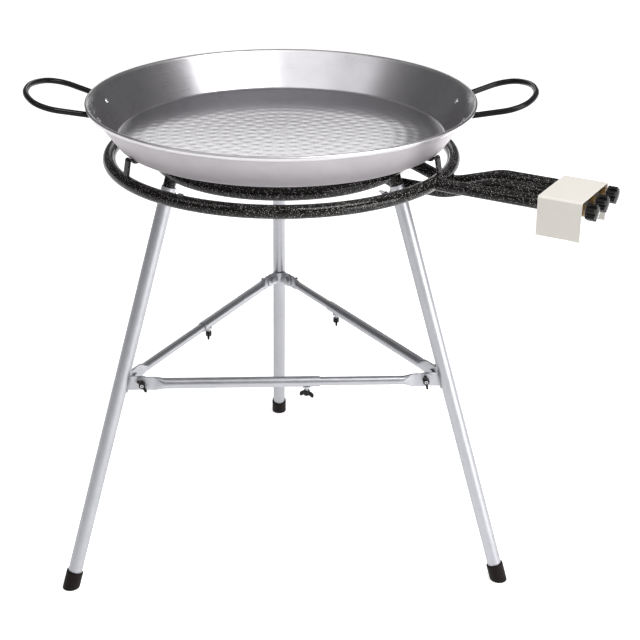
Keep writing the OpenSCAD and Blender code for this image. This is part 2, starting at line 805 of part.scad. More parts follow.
module knob(i) {
    lobe_r = knob_lobe_d / 2;
    core_r = knob_d / 2 - lobe_r;
    color("#141416") along_arm(knob_x0, feed_y(i), 0) difference() {
        intersection() {
            union() {
                cylinder(d = knob_d - lobe_r / 2, h = knob_skirt_h);
                cylinder(r = core_r, h = knob_h);
                for (n = [1:knob_lobes]) rotate([0, 0, 360 * n / knob_lobes])
                    translate([core_r, 0, 0]) cylinder(r = lobe_r, h = knob_h);
            }
            translate([0, 0, knob_h - knob_crown_r]) sphere(r = knob_crown_r, $fn = wide_steps);
        }
        translate([0, 0, -over]) cylinder(d = spindle_d + 2 * seat_gap, h = knob_bore_len + over);
    }
}

module tap_plug_front() { tap_plug(0); }
module tap_plug_middle() { tap_plug(1); }
module tap_plug_rear() { tap_plug(2); }
module tap_spindle_front() { tap_spindle(0); }
module tap_spindle_middle() { tap_spindle(1); }
module tap_spindle_rear() { tap_spindle(2); }
module knob_front() { knob(0); }
module knob_middle() { knob(1); }
module knob_rear() { knob(2); }

// Legs
lock_s = leg_drop + leg_lock_down;
module leg(k) {
    length = leg_run - foot_pad - leg_drop;
    color("#b6b8bc") leg_axis(k) difference() {
        union() {
            translate([0, 0, leg_drop]) cylinder(r = leg_r, h = length);
            translate([0, 0, lock_s]) rotate([0, 90, 0]) cylinder(d = boss_d, h = leg_r + boss_h);
        }
        translate([0, 0, leg_drop - over]) cylinder(r = leg_bore_r, h = length + 2 * over);
        translate([0, 0, lock_s]) rotate([0, 90, 0]) cylinder(r = screw_r + turn_gap, h = leg_d);
    }
}

module foot(k) {
    slant = foot_d * sin(leg_splay);
    color("#141414") difference() {
        leg_axis(k) difference() {
            translate([0, 0, leg_run - foot_h]) cylinder(d = foot_d, h = foot_h + slant);
            translate([0, 0, leg_run - foot_h - over])
                cylinder(r = leg_r + seat_gap, h = foot_h - foot_pad + over);
        }
        leg_plane(k) translate([foot_circle_r - foot_d, -foot_d, -2 * foot_d])
            cube([2 * foot_d, 2 * foot_d, 2 * foot_d]);
    }
}

module leg_lock(k) {
    tip = spigot_r + free_gap;
    seat = leg_r + boss_h + leg_lock_free;
    color("#c4c6ca") leg_axis(k) translate([0, 0, lock_s]) rotate([0, 90, 0]) {
        translate([0, 0, tip]) cylinder(r = screw_r, h = seat + leg_lock_wing_h / 2 - tip);
        translate([0, 0, seat]) rotate([0, 0, 90 + k * 180 / leg_count])
            wings(leg_lock_span, wing_hub_d, leg_lock_wing_h, leg_lock_wing_t);
    }
}

// Bracket tabs stand on the inside of the two braces that meet at a leg
module tab() {
    tab_r = tab_h / 2;
    translate([0, brace_flat_t / 2, 0]) {
        translate([0, 0, -tab_r]) cube([brace_bolt_x, tab_t, tab_h]);
        translate([brace_bolt_x, 0, 0]) rotate([-90, 0, 0]) cylinder(r = tab_r, h = tab_t);
    }
}

module bolt_hole() {
    translate([brace_bolt_x, -brace_outer_r, 0]) rotate([-90, 0, 0])
        cylinder(r = bolt_hole_r, h = brace_outer_d);
}

module leg_bracket(k) {
    before = k + leg_count - 1;
    web_half_angle = 90 - 180 / leg_count + 5;
    web_s = (ring_z - brace_z) / cos(leg_splay) - tab_h / 2;
    color("#a9abb0") difference() {
        union() {
            brace_axis(k) tab();
            brace_far_end(before) tab();
            leg_axis(k) translate([0, 0, web_s]) rotate([0, 0, -web_half_angle])
                rotate_extrude(angle = 2 * web_half_angle) square([leg_r + tab_t, tab_h]);
        }
        leg_axis(k) cylinder(r = leg_r + seat_gap, h = leg_run);
        brace_axis(k) bolt_hole();
        brace_far_end(before) bolt_hole();
    }
}

module leg_left() { leg(0); }
module leg_right() { leg(1); }
module leg_rear() { leg(2); }
module foot_left() { foot(0); }
module foot_right() { foot(1); }
module foot_rear() { foot(2); }
module leg_bracket_left() { leg_bracket(0); }
module leg_bracket_right() { leg_bracket(1); }
module leg_bracket_rear() { leg_bracket(2); }
module leg_lock_left() { leg_lock(0); }
module leg_lock_right() { leg_lock(1); }
module leg_lock_rear() { leg_lock(2); }

// Braces: flattened at the bolt, then round
module flat_end(r) {
    flat_r = brace_flat_h / 2;
    flat_x = brace_bolt_x + brace_flat_len;
    translate([brace_bolt_x, -brace_flat_t / 2, 0]) {
        rotate([-90, 0, 0]) cylinder(r = flat_r, h = brace_flat_t);
        translate([0, 0, -flat_r]) cube([brace_flat_len, brace_flat_t, brace_flat_h]);
    }
    hull() {
        translate([flat_x - slice, -brace_flat_t / 2, -flat_r]) cube([slice, brace_flat_t, brace_flat_h]);
        translate([brace_round_x - slice, 0, 0]) rotate([0, 90, 0]) cylinder(r = r, h = slice, $fn = 32);
    }
}

module brace_outer(k) {
    end_x = brace_steps[k];
    lock_x = end_x - brace_lock_back;
    color("#b2b4b8") brace_axis(k) difference() {
        union() {
            flat_end(brace_outer_r);
            translate([brace_round_x, 0, 0]) rotate([0, 90, 0])
                cylinder(r = brace_outer_r, h = end_x - brace_round_x);
            translate([lock_x, 0, 0]) mirror([0, 0, 1]) cylinder(d = boss_d, h = brace_outer_r + boss_h);
        }
        bolt_hole();
        translate([brace_round_x + over, 0, 0]) rotate([0, 90, 0])
            cylinder(r = brace_bore_r, h = end_x - brace_round_x);
        translate([lock_x, 0, 0]) mirror([0, 0, 1]) cylinder(r = screw_r + turn_gap, h = brace_outer_d);
    }
}

module brace_inner(k) {
    length = brace_span - brace_round_x - brace_steps[k] + brace_overlap;
    color("#bcbec2") brace_far_end(k) difference() {
        union() {
            flat_end(brace_inner_r);
            translate([brace_round_x, 0, 0]) rotate([0, 90, 0]) cylinder(r = brace_inner_r, h = length);
        }
        bolt_hole();
        translate([brace_round_x + over, 0, 0]) rotate([0, 90, 0])
            cylinder(r = brace_inner_r - brace_wall, h = length);
    }
}

module brace_lock(k) {
    tip = brace_inner_r + free_gap;
    seat = brace_outer_r + boss_h + brace_lock_free;
    brace_axis(k) translate([brace_steps[k] - brace_lock_back, 0, 0]) mirror([0, 0, 1]) {
        color("#c4c6ca") translate([0, 0, tip]) cylinder(r = screw_r, h = seat + wing_hub_h / 2 - tip);
        color("#151515") translate([0, 0, seat]) rotate([0, 0, brace_lock_turns[k]])
            wings(wing_span, wing_hub_d, wing_hub_h, wing_t);
    }
}

module bolt() {
    head_y = brace_flat_t / 2 + tab_t;
    length = head_y + brace_flat_t / 2 + bolt_free;
    translate([brace_bolt_x, head_y, 0]) {
        rotate([-90, 0, 0]) hexagon(bolt_flats, bolt_head_h);
        rotate([90, 0, 0]) cylinder(r = screw_r, h = length);
    }
}

module brace_bolts(k) {
    color("#8f9195") {
        brace_axis(k) bolt();
        brace_far_end(k + leg_count - 1) bolt();
    }
}

module wing_nut(turn) {
    translate([brace_bolt_x, -brace_flat_t / 2 - free_gap, 0]) rotate([90, 0, 0]) rotate([0, 0, turn])
        difference() {
        wings(wing_span, wing_hub_d, wing_hub_h, wing_t);
        translate([0, 0, -over]) cylinder(r = screw_r + turn_gap, h = 2 * wing_hub_h);
    }
}

module near_wing_nut(k, n) { color("#151515") brace_axis(k) wing_nut(wing_nut_turns[n]); }
module far_wing_nut(k, n) { color("#151515") brace_far_end(k + leg_count - 1) wing_nut(wing_nut_turns[n]); }

module brace_outer_front() { brace_outer(0); }
module brace_outer_right() { brace_outer(1); }
module brace_outer_left() { brace_outer(2); }
module brace_inner_front() { brace_inner(0); }
module brace_inner_right() { brace_inner(1); }
module brace_inner_left() { brace_inner(2); }
module brace_lock_front() { brace_lock(0); }
module brace_lock_right() { brace_lock(1); }
module brace_lock_left() { brace_lock(2); }
module brace_bolts_left() { brace_bolts(0); }
module brace_bolts_right() { brace_bolts(1); }
module brace_bolts_rear() { brace_bolts(2); }
module wing_nut_left_front() { near_wing_nut(0, 0); }
module wing_nut_left_back() { far_wing_nut(0, 1); }
module wing_nut_right_front() { far_wing_nut(1, 2); }
module wing_nut_right_back() { near_wing_nut(1, 3); }
module wing_nut_rear_left() { near_wing_nut(2, 4); }
module wing_nut_rear_right() { far_wing_nut(2, 5); }

pan_bowl();
pan_handle_left();
pan_handle_right();
pan_rivets();
outer_ring();
middle_ring();
inner_ring();
outer_feed_tube();
middle_feed_tube();
inner_feed_tube();
pan_supports();
leg_spigots();
control_cover();
cover_screws();
tap_bracket();
gas_rail();
rail_plug();
hose_nozzle();
tap_bodies();
gland_nuts();
injectors();
tap_plug_front();
tap_plug_middle();
tap_plug_rear();
tap_spindle_front();
tap_spindle_middle();
tap_spindle_rear();
knob_front();
knob_middle();
knob_rear();
leg_left();
leg_right();
leg_rear();
foot_left();
foot_right();
foot_rear();
leg_bracket_left();
leg_bracket_right();
leg_bracket_rear();
leg_lock_left();
leg_lock_right();
leg_lock_rear();
brace_outer_front();
brace_outer_right();
brace_outer_left();
brace_inner_front();
brace_inner_right();
brace_inner_left();
brace_lock_front();
brace_lock_right();
brace_lock_left();
brace_bolts_left();
brace_bolts_right();
brace_bolts_rear();
wing_nut_left_front();
wing_nut_left_back();
wing_nut_right_front();
wing_nut_right_back();
wing_nut_rear_left();
wing_nut_rear_right();
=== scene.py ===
"""Looks of the paella burner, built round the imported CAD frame.

Lengths below are millimetres in the row frame (origin on the floor under the rings' axis, +Z up),
and become metres when a mesh is made. Each surface is a formula on a grid of two parameters.
Lights, camera and floor are in metres.
"""
import math

import bmesh
import bpy
import numpy as np
from mathutils import Matrix, Vector


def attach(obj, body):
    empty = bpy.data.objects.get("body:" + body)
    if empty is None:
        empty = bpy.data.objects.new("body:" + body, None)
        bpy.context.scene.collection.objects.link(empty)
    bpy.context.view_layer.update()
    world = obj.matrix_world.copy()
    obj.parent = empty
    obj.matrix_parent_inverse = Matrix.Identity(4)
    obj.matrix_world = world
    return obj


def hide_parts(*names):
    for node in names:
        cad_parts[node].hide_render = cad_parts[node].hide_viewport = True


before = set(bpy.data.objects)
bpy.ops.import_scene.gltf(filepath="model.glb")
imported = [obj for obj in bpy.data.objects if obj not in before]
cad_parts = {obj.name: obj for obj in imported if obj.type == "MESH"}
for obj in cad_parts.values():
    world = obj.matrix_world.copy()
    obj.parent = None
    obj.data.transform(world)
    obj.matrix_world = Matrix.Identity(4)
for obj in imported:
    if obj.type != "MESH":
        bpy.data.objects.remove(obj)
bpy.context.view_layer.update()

# Burner head, sizes shared with the CAD source
RING_Z = 718.0
TUBE_R = 11.0
OUTER_R = 289.0
MIDDLE_R = 207.5
INNER_R = 120.0
CREST_Z = RING_Z + TUBE_R
ARM_TURN = math.radians(-31.7)
ARM_OFFSET = 31.5
TAP_PITCH = 46.0

# Stand, sizes shared with the CAD source
FOOT_CIRCLE_R = 433.0
SPLAY = math.atan((FOOT_CIRCLE_R - MIDDLE_R) / RING_Z)
LEG_TURNS = [math.radians(a) for a in (210, 330, 90)]
LEG_R = 12.0
LEG_BORE_R = 10.5
LEG_DROP = 22.0
LEG_LOCK_DROP = LEG_DROP + 14.0
BRACE_Z = 366.0
BRACE_TURN = math.radians(150)
BRACE_CIRCLE_R = MIDDLE_R + (RING_Z - BRACE_Z) * math.tan(SPLAY)
BRACE_SPAN = math.sqrt(3) * BRACE_CIRCLE_R
BOLT_X = 36.0

LEGS = ("left", "right", "rear")
BRACES = ("front", "right", "left")
TAPS = ("front", "middle", "rear")

# Mesh habits
UP = np.array([0.0, 0.0, 1.0])
FULL_TURN = 2 * math.pi
WELD = 1e-5
SHARP = math.radians(50)
LEAST_TURN = 1e-4
HOLD_SHARE = 0.4
MM = 0.001


# Frames: an origin and three axes, as rows
def level(angle):
    """Level unit vector at an angle from +X."""
    return np.array([math.cos(angle), math.sin(angle), 0.0])


def left_of(direction):
    """Level vector a quarter turn to the left of a level one."""
    return np.array([-direction[1], direction[0], 0.0])


def leg_frame(k):
    """Frame of leg k: origin on the middle ring's centre line, axes inward, sideways and down the leg."""
    out = level(LEG_TURNS[k])
    down = out * math.sin(SPLAY) - UP * math.cos(SPLAY)
    inward = -out * math.cos(SPLAY) - UP * math.sin(SPLAY)
    return out * MIDDLE_R + UP * RING_Z, np.array([inward, left_of(out), down])


def brace_frame(k):
    """Frame of brace k: origin on leg k's axis, axes to the next leg, to the inside and up."""
    along = level(LEG_TURNS[k] + BRACE_TURN)
    origin = level(LEG_TURNS[k]) * BRACE_CIRCLE_R + UP * BRACE_Z
    return origin, np.array([along, left_of(along), UP])


def brace_end_frame(k):
    """Frame at the far end of brace k: as brace_frame, with its first axis pointing back."""
    origin, axes = brace_frame(k)
    return origin + axes[0] * BRACE_SPAN, np.array([-axes[0], axes[1], axes[2]])


def arm_frame():
    """Frame of the feed tubes: axes along them, across them and up."""
    along = level(ARM_TURN)
    across = left_of(along)
    return across * ARM_OFFSET + UP * RING_Z, np.array([along, across, UP])


def place(points, pose):
    """Points of a local grid moved into a frame: origin plus each coordinate times its axis."""
    origin, axes = pose
    return points @ axes + origin


def turned(pose, at, z_axis, x_axis):
    """Frame at a local point of another frame, with its own +Z and +X given in that frame."""
    origin, axes = pose
    z = np.asarray(z_axis, float) @ axes
    x = np.asarray(x_axis, float) @ axes
    return origin + np.asarray(at, float) @ axes, np.array([x, np.cross(z, x), z])


def spun(pose, degrees):
    """The same frame turned about its own +Z."""
    origin, axes = pose
    c = math.cos(math.radians(degrees))
    s = math.sin(math.radians(degrees))
    return origin, np.array([c * axes[0] + s * axes[1], c * axes[1] - s * axes[0], axes[2]])


def raised(pose, height):
    """The same frame moved along its own +Z."""
    origin, axes = pose
    return origin + axes[2] * height, axes


# Profiles and surfaces
def rounded(points, radii, steps=6):
    """Polyline whose inner corners are arcs: each corner is cut back by radius times the tangent of
    half its turn, and the arc's points lie on the circle that touches both sides. A point close to
    each end of an arc, within the straight length left there, keeps the straight sides flat."""
    p = np.asarray(points, float)
    side = np.diff(p, axis=0)
    length = np.linalg.norm(side, axis=1)
    side = side / length[:, None]
    turn = np.arccos(np.clip(np.sum(side[:-1] * side[1:], axis=1), -1, 1))
    radius = np.where(turn > LEAST_TURN, np.asarray(radii, float), 0.0)
    cut = radius * np.tan(turn / 2)
    free = np.maximum(length - np.append(0.0, cut) - np.append(cut, 0.0), 0.0)
    t = np.linspace(0, 1, steps + 1)[:, None]
    out = [p[0]]
    for i, corner in enumerate(p[1:-1]):
        if radius[i] <= 0:
            out.append(corner)
            continue
        before, after = HOLD_SHARE * np.minimum(radius[i], free[i:i + 2])
        start = corner - side[i] * cut[i]
        end = corner + side[i + 1] * cut[i]
        inward = side[i + 1] - side[i]
        centre = corner + inward / np.linalg.norm(inward) * (radius[i] / math.cos(turn[i] / 2))
        swing = np.sin((1 - t) * turn[i]) * (start - centre) + np.sin(t * turn[i]) * (end - centre)
        out.append(start - side[i] * before)
        out.extend(centre + swing / math.sin(turn[i]))
        out.append(end + side[i + 1] * after)
    out.append(p[-1])
    return np.array(out)


def refine(points, step):
    """Polyline with extra points so that no piece is longer than step."""
    out = [points[:1]]
    for a, b in zip(points[:-1], points[1:]):
        n = max(1, math.ceil(np.linalg.norm(b - a) / step))
        out.append(a + (b - a) * np.linspace(0, 1, n + 1)[1:, None])
    return np.concatenate(out)


def angles(steps):
    """Angles of a full turn in equal steps."""
    return np.arange(steps) * FULL_TURN / steps


def revolve(profile, steps=64):
    """Surface of revolution: (radius cos t, radius sin t, height) for each profile point."""
    t = angles(steps)
    r, z = np.asarray(profile, float).T
    return np.stack([np.outer(r, np.cos(t)), np.outer(r, np.sin(t)), np.outer(z, np.ones(steps))], -1)


def unit_rows(vectors):
    """Each row divided by its length."""
    return vectors / np.linalg.norm(vectors, axis=1)[:, None]


def tube(path, radius, steps=40):
    """Tube round a path: each ring is the path point plus radius times (cos t normal + sin t binormal),
    with the normal carried along the path without twist."""
    path = np.asarray(path, float)
    tangent = unit_rows(np.gradient(path, axis=0))
    steep = 0.9
    seed = np.cross(tangent[0], UP if abs(tangent[0][2]) < steep else np.array([1.0, 0, 0]))
    normals = [seed / np.linalg.norm(seed)]
    for d in tangent[1:]:
        n = normals[-1] - d * (normals[-1] @ d)
        normals.append(n / np.linalg.norm(n))
    n = np.array(normals)
    b = np.cross(tangent, n)
    t = angles(steps)
    radius = np.broadcast_to(np.asarray(radius, float), (len(path),))[:, None, None]
    ring = np.cos(t)[None, :, None] * n[:, None] + np.sin(t)[None, :, None] * b[:, None]
    return path[:, None] + radius * ring


def super_section(half_a, half_b, power, steps=48):
    """Closed rounded section: half sizes times the signed 2/power power of cosine and sine."""
    t = angles(steps)
    c = np.cos(t)
    s = np.sin(t)
    e = 2.0 / np.asarray(power, float)[..., None]
    a = np.asarray(half_a, float)[..., None] * np.sign(c) * np.abs(c) ** e
    b = np.asarray(half_b, float)[..., None] * np.sign(s) * np.abs(s) ** e
    return a, b


def cap(row, middle):
    """Flat end: a closed row of points joined to one point."""
    return np.stack([row, np.broadcast_to(middle, row.shape)])


def closed_strip(grid):
    """A strip of rings with a flat end at its first and its last ring."""
    return [grid, cap(grid[0], grid[0].mean(0)), cap(grid[-1], grid[-1].mean(0))]


def quads(rows, cols, wrap_rows=False):
    """Vertex numbers of the four corners of each cell of a grid whose columns close on themselves."""
    i = np.arange(rows if wrap_rows else rows - 1)[:, None]
    j = np.arange(cols)[None, :]
    i2 = (i + 1) % rows
    j2 = (j + 1) % cols
    return np.stack([i * cols + j, i * cols + j2, i2 * cols + j2, i2 * cols + j], -1).reshape(-1, 4)


# Materials: shared effects are node groups, each shader stays in its material
def node_group(name, inputs, output):
    """Empty shader group with a vector input, number inputs with their defaults, and one number output."""
    g = bpy.data.node_groups.new(name, "ShaderNodeTree")
    g.interface.new_socket("Vector", in_out="INPUT", socket_type="NodeSocketVector")
    for label, value in inputs:
        socket = g.interface.new_socket(label, in_out="INPUT", socket_type="NodeSocketFloat")
        socket.default_value = value
    g.interface.new_socket(output, in_out="OUTPUT", socket_type="NodeSocketFloat")
    return g, g.nodes.new("NodeGroupInput"), g.nodes.new("NodeGroupOutput")


def math_node(tree, op, a, b=None):
    """Math node fed with numbers or sockets; returns its output."""
    n = tree.nodes.new("ShaderNodeMath")
    n.operation = op
    for i, v in enumerate((a, b)):
        if isinstance(v, (int, float)):
            n.inputs[i].default_value = v
        elif v is not None:
            tree.links.new(v, n.inputs[i])
    return n.outputs[0]


def mottle_group():
    """Soft mottling: two noises of different scale, averaged."""
    g, i, o = node_group("Mottle", [("Scale", 60.0), ("Detail", 4.0)], "Value")
    values = []
    for finer in (1.0, 5.3):
        n = g.nodes.new("ShaderNodeTexNoise")
        g.links.new(i.outputs["Vector"], n.inputs["Vector"])
        g.links.new(math_node(g, "MULTIPLY", i.outputs["Scale"], finer), n.inputs["Scale"])
        g.links.new(i.outputs["Detail"], n.inputs["Detail"])
        values.append(n.outputs["Fac"])
    both = math_node(g, "ADD", values[0], values[1])
    g.links.new(math_node(g, "MULTIPLY", both, 0.5), o.inputs["Value"])
    return g


def speck_group():
    """Specks: cells of a Voronoi pattern whose random number is low hold a small round dot."""
    g, i, o = node_group("Specks", [("Scale", 420.0), ("Share", 0.3), ("Size", 0.28)], "Mask")
    v = g.nodes.new("ShaderNodeTexVoronoi")
    g.links.new(i.outputs["Vector"], v.inputs["Vector"])
    g.links.new(i.outputs["Scale"], v.inputs["Scale"])
    sep = g.nodes.new("ShaderNodeSeparateColor")
    g.links.new(v.outputs["Color"], sep.inputs["Color"])
    few = math_node(g, "LESS_THAN", sep.outputs["Red"], i.outputs["Share"])
    size = math_node(g, "MULTIPLY", sep.outputs["Green"], i.outputs["Size"])
    near = math_node(g, "LESS_THAN", v.outputs["Distance"], size)
    g.links.new(math_node(g, "MULTIPLY", few, near), o.inputs["Mask"])
    return g


def lathe_group():
    """Fine circular lines about the row's Z axis: noise of the distance from it and of the height."""
    g, i, o = node_group("LatheLines", [("Scale", 900.0)], "Value")
    sep = g.nodes.new("ShaderNodeSeparateXYZ")
    g.links.new(i.outputs["Vector"], sep.inputs["Vector"])
    xx = math_node(g, "POWER", sep.outputs["X"], 2.0)
    yy = math_node(g, "POWER", sep.outputs["Y"], 2.0)
    r = math_node(g, "SQRT", math_node(g, "ADD", xx, yy))
    join = g.nodes.new("ShaderNodeCombineXYZ")
    g.links.new(r, join.inputs["X"])
    g.links.new(sep.outputs["Z"], join.inputs["Y"])
    n = g.nodes.new("ShaderNodeTexNoise")
    g.links.new(join.outputs["Vector"], n.inputs["Vector"])
    g.links.new(i.outputs["Scale"], n.inputs["Scale"])
    g.links.new(n.outputs["Fac"], o.inputs["Value"])
    return g


MOTTLE = mottle_group()
SPECKS = speck_group()
LATHE = lathe_group()
RAMP_STOPS = (0.3, 0.7)
LATHE_SHARE = 0.6
BUMP_HEIGHT = 0.0004


def opaque(colour):
    """Colour with full alpha, from a grey level or from three channels."""
    channels = colour if isinstance(colour, tuple) else (colour, colour, colour)
    return (*channels, 1.0)


def ramp(tree, value, low, high):
    """Colour or grey that runs from low to high as value crosses the two stops."""
    n = tree.nodes.new("ShaderNodeValToRGB")
    for element, at, colour in zip(n.color_ramp.elements, RAMP_STOPS, (low, high)):
        element.position = at
        element.color = opaque(colour)
    tree.links.new(value, n.inputs["Fac"])
    return n.outputs["Color"]


def group_value(tree, group, coords, **settings):
    """Shared effect placed in a material with its own settings; returns its output."""
    n = tree.nodes.new("ShaderNodeGroup")
    n.node_tree = group
    tree.links.new(coords, n.inputs["Vector"])
    for label, value in settings.items():
        n.inputs[label].default_value = value
    return n.outputs[0]


def finish(name, low, high, rough, metal=0.0, scale=60.0, bump=0.0, lathe=0.0, specks=None, specular=0.5):
    """Principled surface whose colour and roughness wander between two values with a mottle. Specks are
    given as their colour and the settings of their group."""
    material = bpy.data.materials.new(name)
    material.use_nodes = True
    tree = material.node_tree
    shader = tree.nodes["Principled BSDF"]
    coords = tree.nodes.new("ShaderNodeTexCoord").outputs["Object"]
    mottle = group_value(tree, MOTTLE, coords, Scale=scale)
    colour = ramp(tree, mottle, low, high)
    if specks:
        speck_colour, settings = specks
        mix = tree.nodes.new("ShaderNodeMix")
        mix.data_type = "RGBA"
        tree.links.new(group_value(tree, SPECKS, coords, **settings), mix.inputs["Factor"])
        tree.links.new(colour, mix.inputs["A"])
        mix.inputs["B"].default_value = opaque(speck_colour)
        colour = mix.outputs["Result"]
    tree.links.new(colour, shader.inputs["Base Color"])
    relief = mottle
    if lathe:
        lines = group_value(tree, LATHE, coords, Scale=lathe)
        relief = math_node(tree, "MULTIPLY_ADD", lines, LATHE_SHARE)
        tree.links.new(math_node(tree, "MULTIPLY", mottle, 1 - LATHE_SHARE), relief.node.inputs[2])
    tree.links.new(ramp(tree, relief, *rough), shader.inputs["Roughness"])
    shader.inputs["Metallic"].default_value = metal
    shader.inputs["Specular IOR Level"].default_value = specular
    if bump:
        b = tree.nodes.new("ShaderNodeBump")
        b.inputs["Strength"].default_value = bump
        b.inputs["Distance"].default_value = BUMP_HEIGHT
        tree.links.new(relief, b.inputs["Height"])
        tree.links.new(b.outputs["Normal"], shader.inputs["Normal"])
    return material


ENAMEL = finish("EnamelSpeckled", (0.005, 0.0045, 0.004), (0.010, 0.009, 0.008), (0.10, 0.17), scale=45,
                specks=((0.42, 0.40, 0.40), {"Scale": 680.0, "Share": 0.60, "Size": 0.43}), specular=0.2)
PAN_WALL = finish("PanPolished", (0.48, 0.465, 0.49), (0.54, 0.525, 0.55), (0.265, 0.295), metal=1.0,
                  scale=8, lathe=1400)
PAN_BASE = finish("PanHammered", (0.48, 0.47, 0.49), (0.54, 0.53, 0.55), (0.16, 0.18), metal=1.0, scale=14)
# Same steel as the inside: the darker colour is painted shade on the pan's outside, which faces down.
PAN_OUTSIDE_PAINTED_SHADE = finish("PanOutsidePaintedShade", (0.44, 0.415, 0.435), (0.50, 0.475, 0.495), (0.48, 0.56), metal=1.0,
                  scale=9, lathe=1100)
# Same steel as the wall: the lighter colour is a painted highlight on the rolled rim.
RIM_PAINTED_HIGHLIGHT = finish("PanRimPaintedHighlight", (0.56, 0.545, 0.56), (0.63, 0.615, 0.63), (0.30, 0.38), metal=1.0, scale=20)
HANDLE = finish("HandleGloss", (0.007, 0.007, 0.008), (0.013, 0.013, 0.014), (0.14, 0.22), scale=70,
                specular=0.15)
RIVET = finish("RivetSteel", (0.66, 0.66, 0.66), (0.78, 0.78, 0.78), (0.24, 0.34), metal=1.0, scale=300)
ZINC = finish("ZincPlate", (0.39, 0.395, 0.42), (0.455, 0.46, 0.485), (0.42, 0.50), metal=1.0, scale=22)
CREAM = finish("CoverCream", (0.80, 0.765, 0.70), (0.825, 0.79, 0.73), (0.42, 0.52), scale=240, bump=0.08)
DARK = finish("BracketDark", (0.030, 0.030, 0.032), (0.050, 0.050, 0.052), (0.40, 0.52), metal=0.4, scale=80)
BRASS = finish("TapBrass", (0.30, 0.19, 0.08), (0.42, 0.28, 0.12), (0.30, 0.42), metal=1.0, scale=140)
KNOB = finish("KnobBlack", (0.005, 0.0045, 0.004), (0.009, 0.008, 0.008), (0.20, 0.30), scale=160, bump=0.04,
              specular=0.22)
WING = finish("WingBlack", (0.006, 0.0045, 0.004), (0.012, 0.009, 0.008), (0.30, 0.42), scale=180, bump=0.05,
              specular=0.2)
RUBBER = finish("FootRubber", (0.006, 0.004, 0.0035), (0.012, 0.008, 0.007), (0.50, 0.65), scale=150,
                bump=0.2, specular=0.12)


def skins(grids, material, pose=None):
    """Grids of one material, moved into a frame if one is given, as entries for piece."""
    return [(g if pose is None else place(g, pose), material, None) for g in grids]


def piece(name, surfaces, body, nodes):
    """Object made of several grids: each entry is (points, material, faces), and without faces the grid's
    own cells are used. Points that meet are welded, so poles and seams are closed, and faces are turned
    outwards."""
    points, faces, index, materials = [], [], [], []
    start = 0
    for grid, material, cells in surfaces:
        rows, cols = grid.shape[:2]
        if cells is None:
            cells = quads(rows, cols)
        if material not in materials:
            materials.append(material)
        points.append(grid.reshape(-1, 3))
        faces.append(cells + start)
        index.append(np.full(len(cells), materials.index(material)))
        start += rows * cols
    points = np.concatenate(points) * MM
    faces = np.concatenate(faces)
    mesh = bpy.data.meshes.new(name)
    mesh.vertices.add(len(points))
    mesh.vertices.foreach_set("co", points.astype(np.float32).ravel())
    mesh.loops.add(faces.size)
    mesh.loops.foreach_set("vertex_index", faces.astype(np.int32).ravel())
    mesh.polygons.add(len(faces))
    mesh.polygons.foreach_set("loop_start", np.arange(len(faces), dtype=np.int32) * 4)
    mesh.polygons.foreach_set("material_index", np.concatenate(index).astype(np.int32))
    mesh.polygons.foreach_set("use_smooth", np.ones(len(faces), bool))
    for material in materials:
        mesh.materials.append(material)
    mesh.update(calc_edges=True)
    bm = bmesh.new()
    bm.from_mesh(mesh)
    bmesh.ops.remove_doubles(bm, verts=bm.verts, dist=WELD)
    bmesh.ops.recalc_face_normals(bm, faces=bm.faces)
    bm.to_mesh(mesh)
    bm.free()
    mesh.set_sharp_from_angle(angle=SHARP)
    obj = bpy.data.objects.new(name, mesh)
    bpy.context.scene.collection.objects.link(obj)
    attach(obj, body)
    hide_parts(*nodes)


# Pan: a revolved shell, and a base with rings of hammer marks
PAN_Z = 752.0
PAN_H = 65.0
PAN_RIM_R = 324.0
PAN_BASE_R = 276.0
SHEET = 1.5
LIP_R = 3.8
CORNER_R = 8.0
LEAN = math.atan((PAN_RIM_R - LIP_R - PAN_BASE_R) / (PAN_H - LIP_R))
FLAT_R = PAN_BASE_R - CORNER_R * math.tan((math.pi / 2 - LEAN) / 2)
ROLL_UP = 74.1
ROLL_HALF = 5.4
ROLL_T = 5.8
ROLL_POWER = 2.5
STRIP = 40.0
PAN_COLS = 440
HAMMER_EDGE = FLAT_R - 1.0
HAMMER_PITCH = 21.0
HAMMER_DEPTH = 0.12
HAMMER_TWIST = 1.7
PLAIN_EDGE = 8.0
FADE_RUN = 25.0


def corner_arc(radius, steps=14):
    """Arc between base and wall, about the centre shared by both faces of the sheet."""
    a = np.linspace(-math.pi / 2, -LEAN, steps)
    return np.stack([FLAT_R + radius * np.cos(a), PAN_Z + CORNER_R + radius * np.sin(a)], -1)


def pan_profiles():
    """Three profiles to revolve: the sheet's outside from the middle of the base to its top edge, the rim as
    a flattened roll on the outside of the wall, and the inside wall from the top edge down to the edge of
    the hammered base."""
    along = np.array([math.sin(LEAN), math.cos(LEAN)])
    outward = np.array([math.cos(LEAN), -math.sin(LEAN)])
    top = np.array([PAN_BASE_R, PAN_Z]) + along * ROLL_UP
    outside = np.concatenate([[[0.0, PAN_Z]], corner_arc(CORNER_R), [top]])
    a, b = super_section(np.array([ROLL_HALF]), np.array([ROLL_T / 2]), np.array([ROLL_POWER]), steps=32)
    roll = top + outward * (ROLL_T / 2 - SHEET) + a.T * along + b.T * outward
    edge = top - outward * SHEET - along
    wall = corner_arc(CORNER_R - SHEET)[::-1]
    inside = np.concatenate([[top, edge], wall, [[HAMMER_EDGE, PAN_Z + SHEET]]])
    return refine(outside, STRIP), roll, refine(inside, STRIP)


